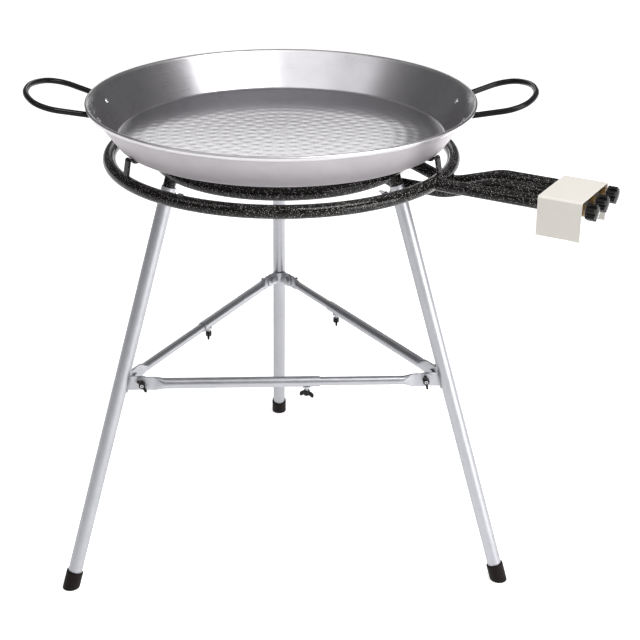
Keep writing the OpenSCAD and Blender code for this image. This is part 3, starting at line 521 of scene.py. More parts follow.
def hammered_base(rows=140):
    """Base disc: height drops in rings of shallow dishes. In ring j (one pitch wide) there are
    round(2 pi (j + 1/2)) dishes, each a squared cosine across and along the ring; the outermost strip
    stays plain."""
    r = np.linspace(0.0, HAMMER_EDGE, rows)[:, None]
    t = angles(PAN_COLS)[None, :]
    ring = np.floor(r / HAMMER_PITCH)
    count = np.maximum(np.round(FULL_TURN * (ring + 0.5)), 1.0)
    across = np.cos(math.pi * (r / HAMMER_PITCH - ring - 0.5)) ** 2
    along = np.cos(count * t / 2 + ring * HAMMER_TWIST) ** 2
    fade = np.clip((HAMMER_EDGE - PLAIN_EDGE - r) / FADE_RUN, 0, 1) * np.minimum(r / HAMMER_PITCH, 1)
    z = PAN_Z + SHEET - HAMMER_DEPTH * across * along * fade
    return np.stack([r * np.cos(t), r * np.sin(t), z], -1)


outside, roll, inside = pan_profiles()
piece("pan_shell", [(revolve(outside, PAN_COLS), PAN_OUTSIDE_PAINTED_SHADE, None),
                    (revolve(roll, PAN_COLS), RIM_PAINTED_HIGHLIGHT, quads(len(roll), PAN_COLS, True)),
                    (revolve(inside, PAN_COLS), PAN_WALL, None),
                    (hammered_base(), PAN_BASE, None)], "pan", ["pan_bowl"])

# Pan handles and their rivets
PAN_TURN = math.radians(-1.7)
RIVET_UP = 39.0
RIVET_R = 5.0
RIVET_H = 2.4
FOOT_UP = 11.0
FEET_TURN = math.radians(10.9)
HANDLE_RISE = math.radians(14.4)
ROD_R = 4.9
ROD_START = 1.5
ROD_SPREAD = 0.5
ROD_STEP = 3.0
BOW_CORNER = (85.0, 89.0)
BOW_END = (120.0, 34.5)
BOW_BENDS = [41, 100, 100, 41]
PAD_H = 3.5
PAD_R = 8.0
PAD_NECK_R = 6.0
PAD_NECK_FROM = -0.25
PAD_ROWS = ((0.0, 0.05), (1.0, 0.05), (1.0, PAD_H - 1.2), (0.97, PAD_H - 0.4), (0.9, PAD_H), (0.0, PAD_H))
SEAT_GAP = 0.05


def wall_radius(z):
    """Radius of the wall's outside at a height above the pan's base."""
    return PAN_BASE_R + z * math.tan(LEAN)


def foot_pose(side, end):
    """Frame on the outside of the wall at a rivet: +Z out of the wall, +X down the wall."""
    out = level(PAN_TURN + math.pi * side + end * FEET_TURN)
    z = out * math.cos(LEAN) - UP * math.sin(LEAN)
    x = -out * math.sin(LEAN) - UP * math.cos(LEAN)
    return out * wall_radius(RIVET_UP) + UP * (PAN_Z + RIVET_UP), np.array([x, np.cross(z, x), z])


def handle_pad(steps=48):
    """Flat pad on the wall: an outline of two part discs, round the rivet and round the rod's end, raised
    to its height with a rounded edge."""
    t = angles(steps)
    low = np.cos(t) >= PAD_NECK_FROM
    x = np.where(low, PAD_R * np.cos(t), -FOOT_UP + PAD_NECK_R * np.cos(t))
    y = np.where(low, PAD_R, PAD_NECK_R) * np.sin(t)
    middle = -FOOT_UP / 3
    return np.array([np.stack([middle + (x - middle) * share, y * share, np.full(steps, z)], -1)
                     for share, z in PAD_ROWS])


def handle(side):
    """Rod swept along the bent outline, its radius falling as a quarter circle at both ends, and at each
    end a pad that hugs the wall."""
    up = RIVET_UP + FOOT_UP * math.cos(LEAN)
    r = wall_radius(up)
    half = [(ROD_START, r * math.sin(FEET_TURN) + ROD_SPREAD), BOW_CORNER, BOW_END]
    line = half + [(u, -v) for u, v in half[::-1]]
    path = refine(rounded(line, BOW_BENDS, steps=24), ROD_STEP)
    out = level(PAN_TURN + math.pi * side)
    origin = out * r * math.cos(FEET_TURN) + UP * (PAN_Z + up)
    slope = out * math.cos(HANDLE_RISE) + UP * math.sin(HANDLE_RISE)
    path = origin + path[:, :1] * slope + path[:, 1:] * left_of(out)
    way = np.append(0.0, np.cumsum(np.linalg.norm(np.diff(path, axis=0), axis=1)))
    near_end = np.clip(1 - np.minimum(way, way[-1] - way) / ROD_R, 0, 1)
    rod = tube(path, ROD_R * np.sqrt(np.maximum(1 - near_end ** 2, 0)), steps=36)
    parts = skins([rod], HANDLE)
    for end in (1, -1):
        parts += skins([handle_pad()], HANDLE, foot_pose(side, end))
    return parts


def rivet_head(steps=9):
    """Spherical cap: its flat underside, and the arc from its rim to its top, revolved."""
    ball = (RIVET_R ** 2 + RIVET_H ** 2) / (2 * RIVET_H)
    a = np.linspace(math.asin((ball - RIVET_H) / ball), math.pi / 2, steps)
    arc = np.stack([ball * np.cos(a), RIVET_H - ball + ball * np.sin(a)], -1)
    return revolve(np.concatenate([[[0.0, 0.0]], arc]), steps=32)


def rivets():
    """Domed heads inside and outside the wall at each handle foot."""
    parts = []
    for side in (0, 1):
        for end in (-1, 1):
            outer = foot_pose(side, end)
            origin, axes = raised(outer, -SHEET - SEAT_GAP)
            inner = (origin, np.array([axes[0], -axes[1], -axes[2]]))
            parts += skins([rivet_head()], RIVET, raised(outer, PAD_H - SEAT_GAP))
            parts += skins([rivet_head()], RIVET, inner)
    return parts


piece("handle_right_rod", handle(0), "pan", ["pan_handle_right"])
piece("handle_left_rod", handle(1), "pan", ["pan_handle_left"])
piece("rivet_heads", rivets(), "pan", ["pan_rivets"])

# Rings with drilled flame ports
PORT_R = 1.3
PORT_EDGE_R = PORT_R + 0.9
PORT_DEPTH = 2.6
PORT_CELLS = 8
RING_ROWS = 48
PORT_BORDER = [(-2, -1), (-2, 0), (-2, 1), (-1, 1), (0, 1), (1, 1),
               (2, 1), (2, 0), (2, -1), (1, -1), (0, -1), (-1, -1)]
PORT_TURNS = np.array([math.atan2(dv, du * 2) for dv, du in PORT_BORDER])
PORT_FLOOR = [(0, 1, 10, 11), (1, 2, 9, 10), (2, 3, 8, 9), (3, 4, 7, 8), (4, 5, 6, 7)]


def port_circle(radius, angle, reach, sink):
    """Twelve points round each port's axis, on the tube's surface or sunk below it."""
    across = -reach * np.sin(PORT_TURNS)
    a = angle[:, None] + reach * np.cos(PORT_TURNS) / radius
    z = np.broadcast_to(RING_Z - sink + np.sqrt(TUBE_R ** 2 - across ** 2), a.shape)
    return np.stack([(radius + across) * np.cos(a), (radius + across) * np.sin(a), z], -1)


def ported_ring(radius, count):
    """Torus grid. At each port a block of two by four cells is taken out of the top and its twelve border
    points are drawn in to a circle; two more circles, one at the port's edge and one sunk into the tube,
    make the hole."""
    cols = count * PORT_CELLS
    u = angles(cols)
    v = angles(RING_ROWS)
    reach = (radius + TUBE_R * np.cos(v))[:, None]
    height = np.broadcast_to(RING_Z + TUBE_R * np.sin(v)[:, None], (RING_ROWS, cols))
    grid = np.stack([reach * np.cos(u), reach * np.sin(u), height], -1)
    top = RING_ROWS // 4
    mid = PORT_CELLS // 2 + np.arange(count) * PORT_CELLS
    edge = port_circle(radius, u[mid], PORT_EDGE_R, 0)
    for n, (dv, du) in enumerate(PORT_BORDER):
        grid[top + dv, mid + du] = edge[:, n]
    keep = np.ones((RING_ROWS, cols), bool)
    for dv in (-2, -1, 0, 1):
        for du in (-1, 0):
            keep[top + dv, mid + du] = False
    kept = quads(RING_ROWS, cols, True).reshape(RING_ROWS, cols, 4)[keep]
    sides = len(PORT_BORDER)
    rim = np.stack([(top + dv) * cols + mid + du for dv, du in PORT_BORDER], -1)
    mouth = RING_ROWS * cols + np.arange(count * sides).reshape(count, sides)
    low = mouth + count * sides
    after = np.roll(np.arange(sides), -1)
    walls = [np.stack([a, a[:, after], b[:, after], b], -1).reshape(-1, 4)
             for a, b in ((rim, mouth), (mouth, low))]
    floors = np.stack([low[:, list(corners)] for corners in PORT_FLOOR], 1).reshape(-1, 4)
    circles = (port_circle(radius, u[mid], PORT_R, sink) for sink in (0, PORT_DEPTH))
    points = np.concatenate([g.reshape(-1, 3) for g in (grid, *circles)])[None]
    return points, np.concatenate([kept[:, ::-1], *walls, floors])


for name, radius, count in (("outer", OUTER_R, 60), ("middle", MIDDLE_R, 42), ("inner", INNER_R, 24)):
    points, faces = ported_ring(radius, count)
    piece(f"ring_{name}", [(points, ENAMEL, faces)], "burner", [f"{name}_ring"])

# Feed tubes
FEED_R = 10.3
FEED_END = 486.0
FEED_DIP = 28.0
FEED_BEND = 80
DIP_RUN = 90.0
RISE_RUN = 85.0
FEED_STEP = 8.0
MOUTH_SHARE = 0.86
MOUTH_ROW = 3


def feed_path(i):
    """Centre line of feed tube i along the arm: level, down a slope, under the rings and up."""
    side = ARM_OFFSET + (i - 1) * TAP_PITCH
    cross = math.sqrt(OUTER_R ** 2 - side ** 2)
    dip = [(FEED_END, 0), (cross + DIP_RUN, 0), (cross, -FEED_DIP)]
    if i == 0:
        line = [(FEED_END, 0), (cross, 0)]
    elif i == 1:
        end = math.sqrt(INNER_R ** 2 - side ** 2)
        line = [*dip, (end + RISE_RUN, -FEED_DIP), (end, 0)]
    else:
        line = [*dip, (math.sqrt(MIDDLE_R ** 2 - side ** 2), 0)]
    bends = [FEED_BEND] * (len(line) - 2)
    p = refine(rounded(line, bends, steps=12), FEED_STEP)
    across = np.full(len(p), (i - 1) * TAP_PITCH)
    return place(np.stack([p[:, 0], across, p[:, 1]], -1), arm_frame())


def feed_tube(i):
    """Tube along the feed's path, with a short way of its bore at the tap end and a flat far end."""
    path = feed_path(i)
    shell = tube(path, FEED_R, steps=44)
    bore = shell * MOUTH_SHARE + path[:, None] * (1 - MOUTH_SHARE)
    mouth = np.stack([shell[0], bore[0], bore[MOUTH_ROW], np.broadcast_to(path[MOUTH_ROW], bore[0].shape)])
    return skins([shell, mouth, cap(shell[-1], path[-1])], ENAMEL)


for i, name in enumerate(("outer", "inner", "middle")):
    piece(f"feed_{name}", feed_tube(i), "burner", [f"{name}_feed_tube"])

# Pan supports: flat bar with rounded edges along a bent line, and a post on the middle ring
SUPPORT_W = 16
SUPPORT_T = 4
SUPPORT_SINK = -1.5
SUPPORT_UP = 21
SUPPORT_POWER = 7.0
SUPPORT_STEP = 6.0
CROWN_IN = 5.3
CROWN_UP = 28.2
DIP_IN = 12.1
SUPPORT_LINE = [(OUTER_R, SUPPORT_SINK), (OUTER_R - CROWN_IN, CROWN_UP), (OUTER_R - DIP_IN, SUPPORT_UP),
                (INNER_R, SUPPORT_UP), (INNER_R, SUPPORT_SINK)]
SUPPORT_BENDS = [2.5, 4, 6]
POST_LINE = [(MIDDLE_R, SUPPORT_SINK), (MIDDLE_R, SUPPORT_UP)]


def bar(line, bends, pose):
    """Flat bar: a rounded rectangle carried along a line in the local XZ plane, closed at both ends."""
    p = refine(rounded(line, bends, steps=8), SUPPORT_STEP)
    d = unit_rows(np.gradient(p, axis=0))
    n = np.stack([-d[:, 1], d[:, 0]], -1)
    half_t = np.array([SUPPORT_T / 2])
    half_w = np.array([SUPPORT_W / 2])
    a, b = super_section(half_t, half_w, np.array([SUPPORT_POWER]), steps=40)
    x = p[:, :1] + n[:, :1] * a
    z = p[:, 1:] + n[:, 1:] * a
    return skins(closed_strip(np.stack([x, np.broadcast_to(b, x.shape), z], -1)), ENAMEL, pose)


support_parts = []
for turn in LEG_TURNS:
    pose = (UP * CREST_Z, np.array([level(turn), left_of(level(turn)), UP]))
    support_parts += bar(SUPPORT_LINE, SUPPORT_BENDS, pose)
    support_parts += bar(POST_LINE, [], pose)
piece("support_bars", support_parts, "burner", ["pan_supports"])

# Spigots
SPIGOT_R = 10.4
SPIGOT_FROM = 6
SPIGOT_TO = 70
SPIGOT_LINE = [(0, SPIGOT_FROM), (SPIGOT_R, SPIGOT_FROM), (SPIGOT_R, SPIGOT_TO), (0, SPIGOT_TO)]
SPIGOT_EDGES = [0, 1.0]
SPIGOT_STEP = 8

spigot_parts = []
for k in range(len(LEGS)):
    spigot = revolve(refine(rounded(SPIGOT_LINE, SPIGOT_EDGES), SPIGOT_STEP), steps=48)
    spigot_parts += skins([spigot], ENAMEL, leg_frame(k))
piece("spigot_rods", spigot_parts, "burner", ["leg_spigots"])

# Knobs
KNOB_X = 547.2
KNOB_H = 17.0
KNOB_CROWN_R = 36.0
KNOB_EDGE_R = 1.3
KNOB_LOBES = 6
LOBE_R = 4.25
CORE_R = 9.75
CORE_SHARE = 0.97
LOBE_POWER = 30
SKIRT_R = 12.6
SKIRT_EDGE_R = 0.5
SKIRT_TOP = 2.4
SIDE_FROM = 3.2
SKIRT_MIDDLE = 2.9
KNOB_BACK = (0.0, 6.0, 12.0)
FACE_SHARES = (0.85, 0.65, 0.4, 0.15, 0.0)
SIDE_SHARES = np.linspace(0.1, 1.0, 7)
SKIRT_EDGE_TURNS = np.linspace(0, math.pi / 2, 5)
FACE_EDGE_TURNS = np.linspace(0.15, math.pi / 2, 7)


def knob(i, steps=216):
    """Fluted knob: the side's radius is the larger of a core circle and six lobe circles, blended by a
    high power mean; the profile has small round edges and a crowned face."""
    t = angles(steps)
    flat = np.ones(steps)
    half_lobe = math.pi / KNOB_LOBES
    off = (t + half_lobe) % (2 * half_lobe) - half_lobe
    reach = LOBE_R ** 2 - (CORE_R * np.sin(off)) ** 2
    lobe = np.where(reach > 0, CORE_R * np.cos(off) + np.sqrt(np.maximum(reach, 0)), 0)
    side = ((CORE_R * CORE_SHARE) ** LOBE_POWER + lobe ** LOBE_POWER) ** (1 / LOBE_POWER)
    face = side - KNOB_EDGE_R
    top = KNOB_H - face ** 2 / (2 * KNOB_CROWN_R) - KNOB_EDGE_R
    skirt = np.maximum(side, SKIRT_R)
    rows = [(flat * r, flat * 0) for r in KNOB_BACK]
    for a in SKIRT_EDGE_TURNS:
        rows.append((skirt - SKIRT_EDGE_R + SKIRT_EDGE_R * np.sin(a), flat * SKIRT_EDGE_R * (1 - np.cos(a))))
    rows += [(skirt, flat * SKIRT_TOP), ((skirt + side) / 2, flat * SKIRT_MIDDLE), (side, flat * SIDE_FROM)]
    for share in SIDE_SHARES:
        rows.append((side, SIDE_FROM + (top - SIDE_FROM) * share))
    for a in FACE_EDGE_TURNS:
        rows.append((face + KNOB_EDGE_R * np.cos(a), top + KNOB_EDGE_R * np.sin(a)))
    for share in FACE_SHARES:
        rows.append((face * share, KNOB_H - (face * share) ** 2 / (2 * KNOB_CROWN_R)))
    grid = np.array([np.stack([r * np.cos(t), r * np.sin(t), z], -1) for r, z in rows])
    pose = turned(arm_frame(), (KNOB_X, (i - 1) * TAP_PITCH, 0), (1, 0, 0), (0, 0, 1))
    return skins([grid], KNOB, pose)


for i, name in enumerate(TAPS):
    piece(f"knob_cap_{name}", knob(i), f"control_{name}", [f"knob_{name}"])

# Legs and feet
LEG_FLOOR = RING_Z / math.cos(SPLAY)
LEG_END = LEG_FLOOR - 9.0
LEG_LINE = [(LEG_BORE_R, LEG_END), (LEG_BORE_R, LEG_DROP), (LEG_R, LEG_DROP), (LEG_R, LEG_END),
            (LEG_BORE_R, LEG_END)]
LEG_EDGES = [0.5, 0.6, 0]
LEG_STEP = 60
LEG_BOSS = {"bore": 3.2, "low": 8.0, "high": 14.5, "edge": 1.0}
BRACE_BOSS = {"bore": 3.1, "low": 8.0, "high": 11.5, "edge": 0.8}
BOSS_R = 6.5
FOOT_TOP = LEG_FLOOR - 32.0
FOOT_CAP_R = 14.5
FOOT_COLLAR = 12
FOOT_SEAT = 3
FOOT_LINE = [(0, FOOT_TOP + FOOT_SEAT), (LEG_R, FOOT_TOP + FOOT_SEAT), (LEG_R, FOOT_TOP),
             (FOOT_CAP_R, FOOT_TOP), (FOOT_CAP_R, FOOT_TOP + FOOT_COLLAR)]
FOOT_EDGES = [0, 0.6, 1.6]
FOOT_HEEL = 2.5
FOOT_SIDE_SHARES = (0.3, 0.6, 0.9)
SOLE_ROWS = ((1.0, 1.6), (0.985, 0.7), (0.94, 0.15), (0.88, 0.0), (0.5, 0.0), (0.0, 0.0))


def nut_boss(bore, low, high, edge):
    """Welded nut of a lock screw: a short sleeve with a rounded outer edge."""
    line = [(bore, low), (bore, high), (BOSS_R, high), (BOSS_R, low), (bore, low)]
    return revolve(rounded(line, [0, edge, 0], steps=5), steps=40)


def leg_lock_pose(k):
    """Frame of the lock screw at the top of leg k, pointing inward."""
    return turned(leg_frame(k), (0, 0, LEG_LOCK_DROP), (1, 0, 0), (0, 0, 1))


def leg(k):
    """Leg tube with rounded top edges and its bore, and the welded nut of its lock screw."""
    shell = revolve(refine(rounded(LEG_LINE, LEG_EDGES, steps=4), LEG_STEP), steps=56)
    return skins([shell], ZINC, leg_frame(k)) + skins([nut_boss(**LEG_BOSS)], ZINC, leg_lock_pose(k))


def foot(k, steps=64):
    """Rubber cap: rounded collar at its top, side run down to the floor plane, flat sole. A point at
    distance r and turn t of the leg's axis meets the floor at
    s = (ring height - r cos t sin splay) / cos splay."""
    t = angles(steps)

    def ring(r, s):
        """Closed row of points at a distance from the leg's axis and at places down it."""
        return np.stack([r * np.cos(t), r * np.sin(t), np.broadcast_to(s, steps)], -1)

    def floor_at(r, lift):
        """Places down the leg where a row of that distance lies a lift above the floor."""
        return (RING_Z - lift - r * np.cos(t) * math.sin(SPLAY)) / math.cos(SPLAY)

    rows = [ring(r, s) for r, s in rounded(FOOT_LINE, FOOT_EDGES, steps=5)]
    collar = FOOT_TOP + FOOT_COLLAR
    run = floor_at(FOOT_CAP_R, 0) - collar - FOOT_HEEL
    rows += [ring(FOOT_CAP_R, collar + run * share) for share in FOOT_SIDE_SHARES]
    rows += [ring(FOOT_CAP_R * share, floor_at(FOOT_CAP_R * share, lift)) for share, lift in SOLE_ROWS]
    return skins([np.array(rows)], RUBBER, leg_frame(k))


# Braces
BRACE_STEPS = (335.0, 366.0, 291.0)
BRACE_LOCK_TURNS = (25, 30, -30)
OUTER_BRACE_R = 9.0
OUTER_BRACE_BORE_R = 7.6
INNER_BRACE_R = 7.5
BRACE_OVERLAP = 68
BRACE_LOCK_IN = 22
FLAT_HALF_H = 12
FLAT_HALF_T = 1.5
FLAT_RUN = 18
CHANGE_RUN = 22.0
TIP_SHARE = 0.6
TIP_FROM = 0.03
TIP_LEAST = 0.2
ROUND_POWER = 2
FLAT_POWER = 6
WIDEN_POWER = 1.1
RIM_ROWS = ((0.9, 0), (0.3, 0), (0.1, -0.1), (0, -0.3), (0, -0.5))
BORE_ROWS = ((0, 0.3), (0.2, 0), (0.6, 0), (25, 0))


def brace(r, end, pose, bore=None):
    """Brace tube: from the rounded tip of its flattened end, a half circle round the bolt, through a smooth
    change of section to a round tube; an open end turns into its bore."""
    change_from = BOLT_X + FLAT_RUN
    change_to = change_from + CHANGE_RUN
    tip = BOLT_X - FLAT_HALF_H * np.cos(np.linspace(TIP_FROM, math.pi / 2, 10))
    flat = [BOLT_X + FLAT_RUN / 2, change_from]
    change = np.linspace(change_from, change_to, 16)[1:]
    x = np.concatenate([tip, flat, change, np.linspace(change_to, end, 12)[1:]])
    s = np.clip((x - change_from) / CHANGE_RUN, 0, 1)
    s = s * s * (3 - 2 * s)
    tip_half = np.sqrt(np.maximum(FLAT_HALF_H ** 2 - (BOLT_X - x) ** 2, TIP_LEAST))
    high = np.where(x < BOLT_X, tip_half, FLAT_HALF_H + (r - FLAT_HALF_H) * s)
    wide = FLAT_HALF_T + (r - FLAT_HALF_T) * s ** WIDEN_POWER
    wide[0] *= TIP_SHARE
    power = ROUND_POWER + FLAT_POWER * (1 - s) ** 2
    if bore:
        lip = np.array([(back, r + step) for back, step in RIM_ROWS]
                       + [(back, bore + step) for back, step in BORE_ROWS])
        x = np.append(x[:-1], end - lip[:, 0])
        high = np.append(high[:-1], lip[:, 1])
        wide = np.append(wide[:-1], lip[:, 1])
        power = np.append(power[:-1], np.full(len(lip), ROUND_POWER))
    a, b = super_section(wide, high, power, steps=56)
    grid = np.stack([np.broadcast_to(x[:, None], a.shape), a, b], -1)
    return skins(closed_strip(grid), ZINC, pose)


# Thumb wings and screw shanks
HUB_R = 5.5
HUB_CROWN = 0.9
HUB_EDGES = [0.6, 1.4]
WING_FROM = 0.12
WING_TIP_FROM = 0.86
WING_TIP = 1 - WING_TIP_FROM
WING_POWER = 3.2
TIP_TURNS = np.linspace(0.12, math.pi / 2 - 0.04, 9)
TIP_FLOOR = 0.002
TIP_H_SHARE = 0.25
TIP_T_SHARE = 0.12
ROOT_T_SHARE = 1.05
TAPER_SHARE = 0.2
LOW_AT = [0, 0.34, 0.70, 0.9, 1.0]
LOW_SHARES = [0.15, 0.17, 0.32, 0.58, 0.72]
HIGH_AT = [0, 0.34, 0.70, 0.86, 1.0]
HIGH_SHARES = [0.86, 0.98, 1.38, 1.40, 1.26]
LEG_WINGS = {"half": 11.0, "hub_h": 8.0, "thick": 2.8}
STAND_WINGS = {"half": 13.0, "hub_h": 9.0, "thick": 4.5}
LEG_LOCK_TURNS = (90, 150, 210)
LEG_SHANK = (10.7, 25.0)
LEG_WINGS_UP = 21.5
BRACE_SHANK = (7.8, 21.0)
BRACE_WINGS_UP = 16.5
SHANK_R = 3.0
THREAD_DEPTH = 0.16
THREAD_ROWS = 6


def wings(pose, material, half, hub_h, thick):
    """Thumb wings: a crowned hub with round edges, and two wings whose lower and upper edge are curves of
    the distance from the hub; each section is a rounded slab, closed by an elliptic tip."""
    hub = rounded([(0, 0), (HUB_R, 0), (HUB_R, hub_h), (0, hub_h + HUB_CROWN)], HUB_EDGES, steps=5)
    parts = skins([revolve(hub, steps=40)], material, pose)
    blade = np.linspace(WING_FROM, WING_TIP_FROM, 16)
    end = WING_TIP_FROM + WING_TIP * np.sin(TIP_TURNS)
    t = np.append(blade, end)
    low = np.interp(t, LOW_AT, LOW_SHARES) * hub_h
    high = np.interp(t, HIGH_AT, HIGH_SHARES) * hub_h
    tip = np.sqrt(np.clip(1 - np.maximum((t - WING_TIP_FROM) / WING_TIP, 0) ** 2, TIP_FLOOR, 1))
    half_h = (high - low) / 2 * (TIP_H_SHARE + (1 - TIP_H_SHARE) * tip)
    half_t = thick / 2 * (ROOT_T_SHARE - TAPER_SHARE * t) * (TIP_T_SHARE + (1 - TIP_T_SHARE) * tip)
    a, b = super_section(half_t, half_h, np.full(len(t), WING_POWER), steps=36)
    z = (high + low)[:, None] / 2 + b
    for side in (1, -1):
        x = np.broadcast_to((t * half * side)[:, None], a.shape)
        parts += skins(closed_strip(np.stack([x, a * side, z], -1)), material, pose)
    return parts


def shank(z0, z1, pose):
    """Screw shank: a rod with flat ends and shallow thread rings (radius wanders with height)."""
    z = np.linspace(z0, z1, int((z1 - z0) * THREAD_ROWS))
    r = SHANK_R - THREAD_DEPTH * (0.5 + 0.5 * np.cos(FULL_TURN * z))
    profile = np.concatenate([[[0.0, z0]], np.stack([r, z], -1), [[0.0, z1]]])
    return skins([revolve(profile, steps=32)], ZINC, pose)


for k, name in enumerate(LEGS):
    body = f"stand_leg_{name}"
    piece(f"leg_tube_{name}", leg(k), body, [f"leg_{name}"])
    piece(f"foot_cap_{name}", foot(k), body, [f"foot_{name}"])
    lock = spun(leg_lock_pose(k), LEG_LOCK_TURNS[k])
    screw = shank(*LEG_SHANK, lock) + wings(raised(lock, LEG_WINGS_UP), ZINC, **LEG_WINGS)
    piece(f"leg_screw_{name}", screw, f"leg_lock_{name}", [f"leg_lock_{name}"])

for k, name in enumerate(BRACES):
    step = BRACE_STEPS[k]
    boss_pose = turned(brace_frame(k), (step - BRACE_LOCK_IN, 0, 0), (0, 0, -1), (1, 0, 0))
    sleeve = brace(OUTER_BRACE_R, step, brace_frame(k), OUTER_BRACE_BORE_R)
    sleeve += skins([nut_boss(**BRACE_BOSS)], ZINC, boss_pose)
    piece(f"brace_sleeve_{name}", sleeve, f"stand_leg_{LEGS[k]}", [f"brace_outer_{name}"])
    rod = brace(INNER_BRACE_R, BRACE_SPAN - step + BRACE_OVERLAP, brace_end_frame(k))
    piece(f"brace_rod_{name}", rod, f"brace_inner_{name}", [f"brace_inner_{name}"])
    lock = spun(boss_pose, BRACE_LOCK_TURNS[k])
    screw = shank(*BRACE_SHANK, lock) + wings(raised(lock, BRACE_WINGS_UP), WING, **STAND_WINGS)
    piece(f"brace_screw_{name}", screw, f"brace_lock_{name}", [f"brace_lock_{name}"])

# Wing nuts on the brace bolts: name, brace, whether at its near end, and its turn in degrees
NUT_SEAT = -1.8
NUTS = (("left_front", 0, True, -55), ("left_back", 2, False, 20), ("right_front", 0, False, -80),
        ("right_back", 1, True, 35), ("rear_left", 2, True, 15), ("rear_right", 1, False, -20))
for name, k, near, turn in NUTS:
    pose = brace_frame(k) if near else brace_end_frame(k)
    nut = spun(turned(pose, (BOLT_X, NUT_SEAT, 0), (0, -1, 0), (1, 0, 0)), turn)
    piece(f"wing_nut_body_{name}", wings(nut, WING, **STAND_WINGS), f"wing_nut_{name}",
          [f"wing_nut_{name}"])

# CAD nodes that are shown as they are
PLAIN_NODES = {
    "control_cover": CREAM, "cover_screws": RIVET, "tap_bracket": DARK, "gas_rail": DARK,
    "rail_plug": BRASS, "hose_nozzle": BRASS, "tap_bodies": BRASS, "gland_nuts": BRASS, "injectors": BRASS,
}
PLAIN_NODES.update({f"tap_plug_{name}": BRASS for name in TAPS})
PLAIN_NODES.update({f"tap_spindle_{name}": RIVET for name in TAPS})
PLAIN_NODES.update({f"{what}_{name}": ZINC for what in ("leg_bracket", "brace_bolts") for name in LEGS})
for name, material in PLAIN_NODES.items():
    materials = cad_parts[name].data.materials
    materials.clear()
    materials.append(material)

# Floor
FLOOR_HALF = 30.0
FLOOR_Z = -0.0003
FLOOR_GLOW = 0.72
floor_mesh = bpy.data.meshes.new("floor")
floor_corners = [(-FLOOR_HALF, -FLOOR_HALF, FLOOR_Z), (FLOOR_HALF, -FLOOR_HALF, FLOOR_Z),
                 (FLOOR_HALF, FLOOR_HALF, FLOOR_Z), (-FLOOR_HALF, FLOOR_HALF, FLOOR_Z)]
floor_mesh.from_pydata(floor_corners, [], [(0, 1, 2, 3)])
floor_white = finish("FloorWhite", 0.90, 0.92, (0.8, 0.9), scale=3.0, specular=0.1)
floor_mesh.materials.append(floor_white)
floor_tree = floor_white.node_tree
rays = floor_tree.nodes.new("ShaderNodeLightPath").outputs
looked_at = math_node(floor_tree, "MAXIMUM", rays["Is Camera Ray"], rays["Is Glossy Ray"])
looked_at = math_node(floor_tree, "MAXIMUM", looked_at, rays["Is Transmission Ray"])
floor_shader = floor_tree.nodes["Principled BSDF"]
floor_tree.links.new(math_node(floor_tree, "MULTIPLY", looked_at, FLOOR_GLOW),
                     floor_shader.inputs["Emission Strength"])
floor_shader.inputs["Emission Color"].default_value = opaque(1.0)
floor = bpy.data.objects.new("floor", floor_mesh)
bpy.context.scene.collection.objects.link(floor)

# Camera, fitted to the photograph
EYE = Vector((-0.0443, -2.39875, 1.49076))
YAW = math.radians(2.26)
PITCH = math.radians(24.36)
ROLL = math.radians(0.24)
camera = bpy.data.cameras.new("camera")
camera.lens = 83.38
camera.sensor_width = 36.0
camera.shift_x = 0.01442
camera.shift_y = 0.00314
eye = bpy.data.objects.new("camera", camera)
bpy.context.scene.collection.objects.link(eye)
ahead = Vector((math.sin(YAW) * math.cos(PITCH), math.cos(YAW) * math.cos(PITCH), -math.sin(PITCH)))
level_right = Vector((math.cos(YAW), -math.sin(YAW), 0.0))
level_up = level_right.cross(ahead)
right = level_right * math.cos(ROLL) + level_up * math.sin(ROLL)
up = level_up * math.cos(ROLL) - level_right * math.sin(ROLL)
eye.matrix_world = Matrix.Translation(EYE) @ Matrix((right, up, -ahead)).transposed().to_4x4()
bpy.context.scene.camera = eye

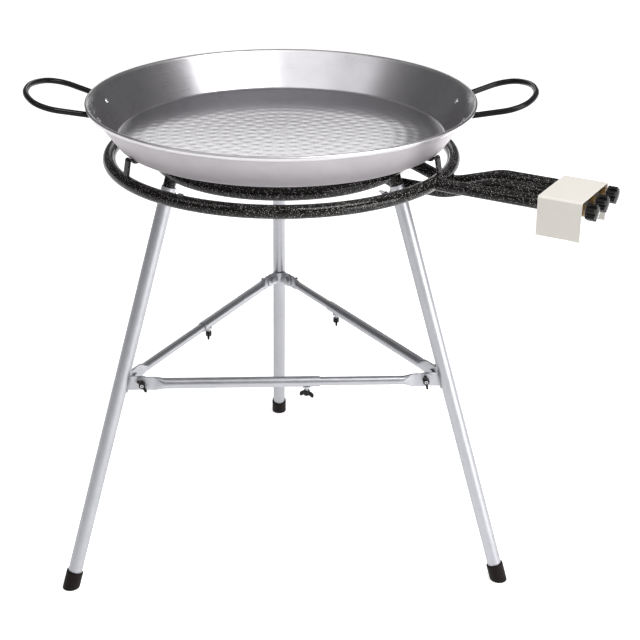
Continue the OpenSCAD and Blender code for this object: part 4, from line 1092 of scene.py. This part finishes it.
# Lights: name, place, aim, width and height, power in watts
SOFTBOXES = (
    ("key", (1.2, -1.35, 3.2), (0, 0.2, 0.8), (1.9, 1.0), 66),
    ("back", (0.0, 3.2, 2.1), (0, 0, 0.76), (1.1, 0.7), 4.0),
    ("back_low", (-0.1, 3.2, 0.86), (0, 0, 0.73), (1.8, 0.3), 4.6),
    ("top_left", (-0.6, -0.9, 3.2), (0, 0.3, 0.8), (1.2, 1.0), 6.5),
    ("left_top", (-1.9, -0.8, 2.7), (0.15, 0.2, 0.8), (1.3, 1.2), 8.0),
    ("low_right", (0.95, 0.65, 0.06), (0.22, -0.2, 0.78), (0.6, 0.6), 3.0),
    ("right_fill", (2.4, -1.8, 0.9), (0.2, 0, 0.6), (2.0, 1.5), 52),
)
for name, spot, aim, size, power in SOFTBOXES:
    light = bpy.data.lights.new(name, "AREA")
    light.shape = "RECTANGLE"
    light.size, light.size_y = size
    light.energy = power
    box = bpy.data.objects.new(name, light)
    bpy.context.scene.collection.objects.link(box)
    box.location = spot
    box.rotation_mode = "QUATERNION"
    box.rotation_quaternion = (Vector(aim) - Vector(spot)).to_track_quat("-Z", "Y")

# Sky: grey levels by the height of the direction, from the horizon to straight up
HORIZON_GREY = 0.32
ZENITH_GREY = 0.45
SKY_GREYS = ((0.12, 0.10), (0.26, 0.19), (0.5, 0.13))
world = bpy.data.worlds.new("studio")
bpy.context.scene.world = world
world.use_nodes = True
sky = world.node_tree
height = sky.nodes.new("ShaderNodeSeparateXYZ")
sky.links.new(sky.nodes.new("ShaderNodeTexCoord").outputs["Generated"], height.inputs["Vector"])
shade = sky.nodes.new("ShaderNodeValToRGB")
stops = shade.color_ramp.elements
stops[0].color = opaque(HORIZON_GREY)
stops[1].color = opaque(ZENITH_GREY)
for at, grey in SKY_GREYS:
    stops.new(at).color = opaque(grey)
sky.links.new(height.outputs["Z"], shade.inputs["Fac"])
sky.links.new(shade.outputs["Color"], sky.nodes["Background"].inputs["Color"])
bpy.context.scene.view_settings.view_transform = "Standard"
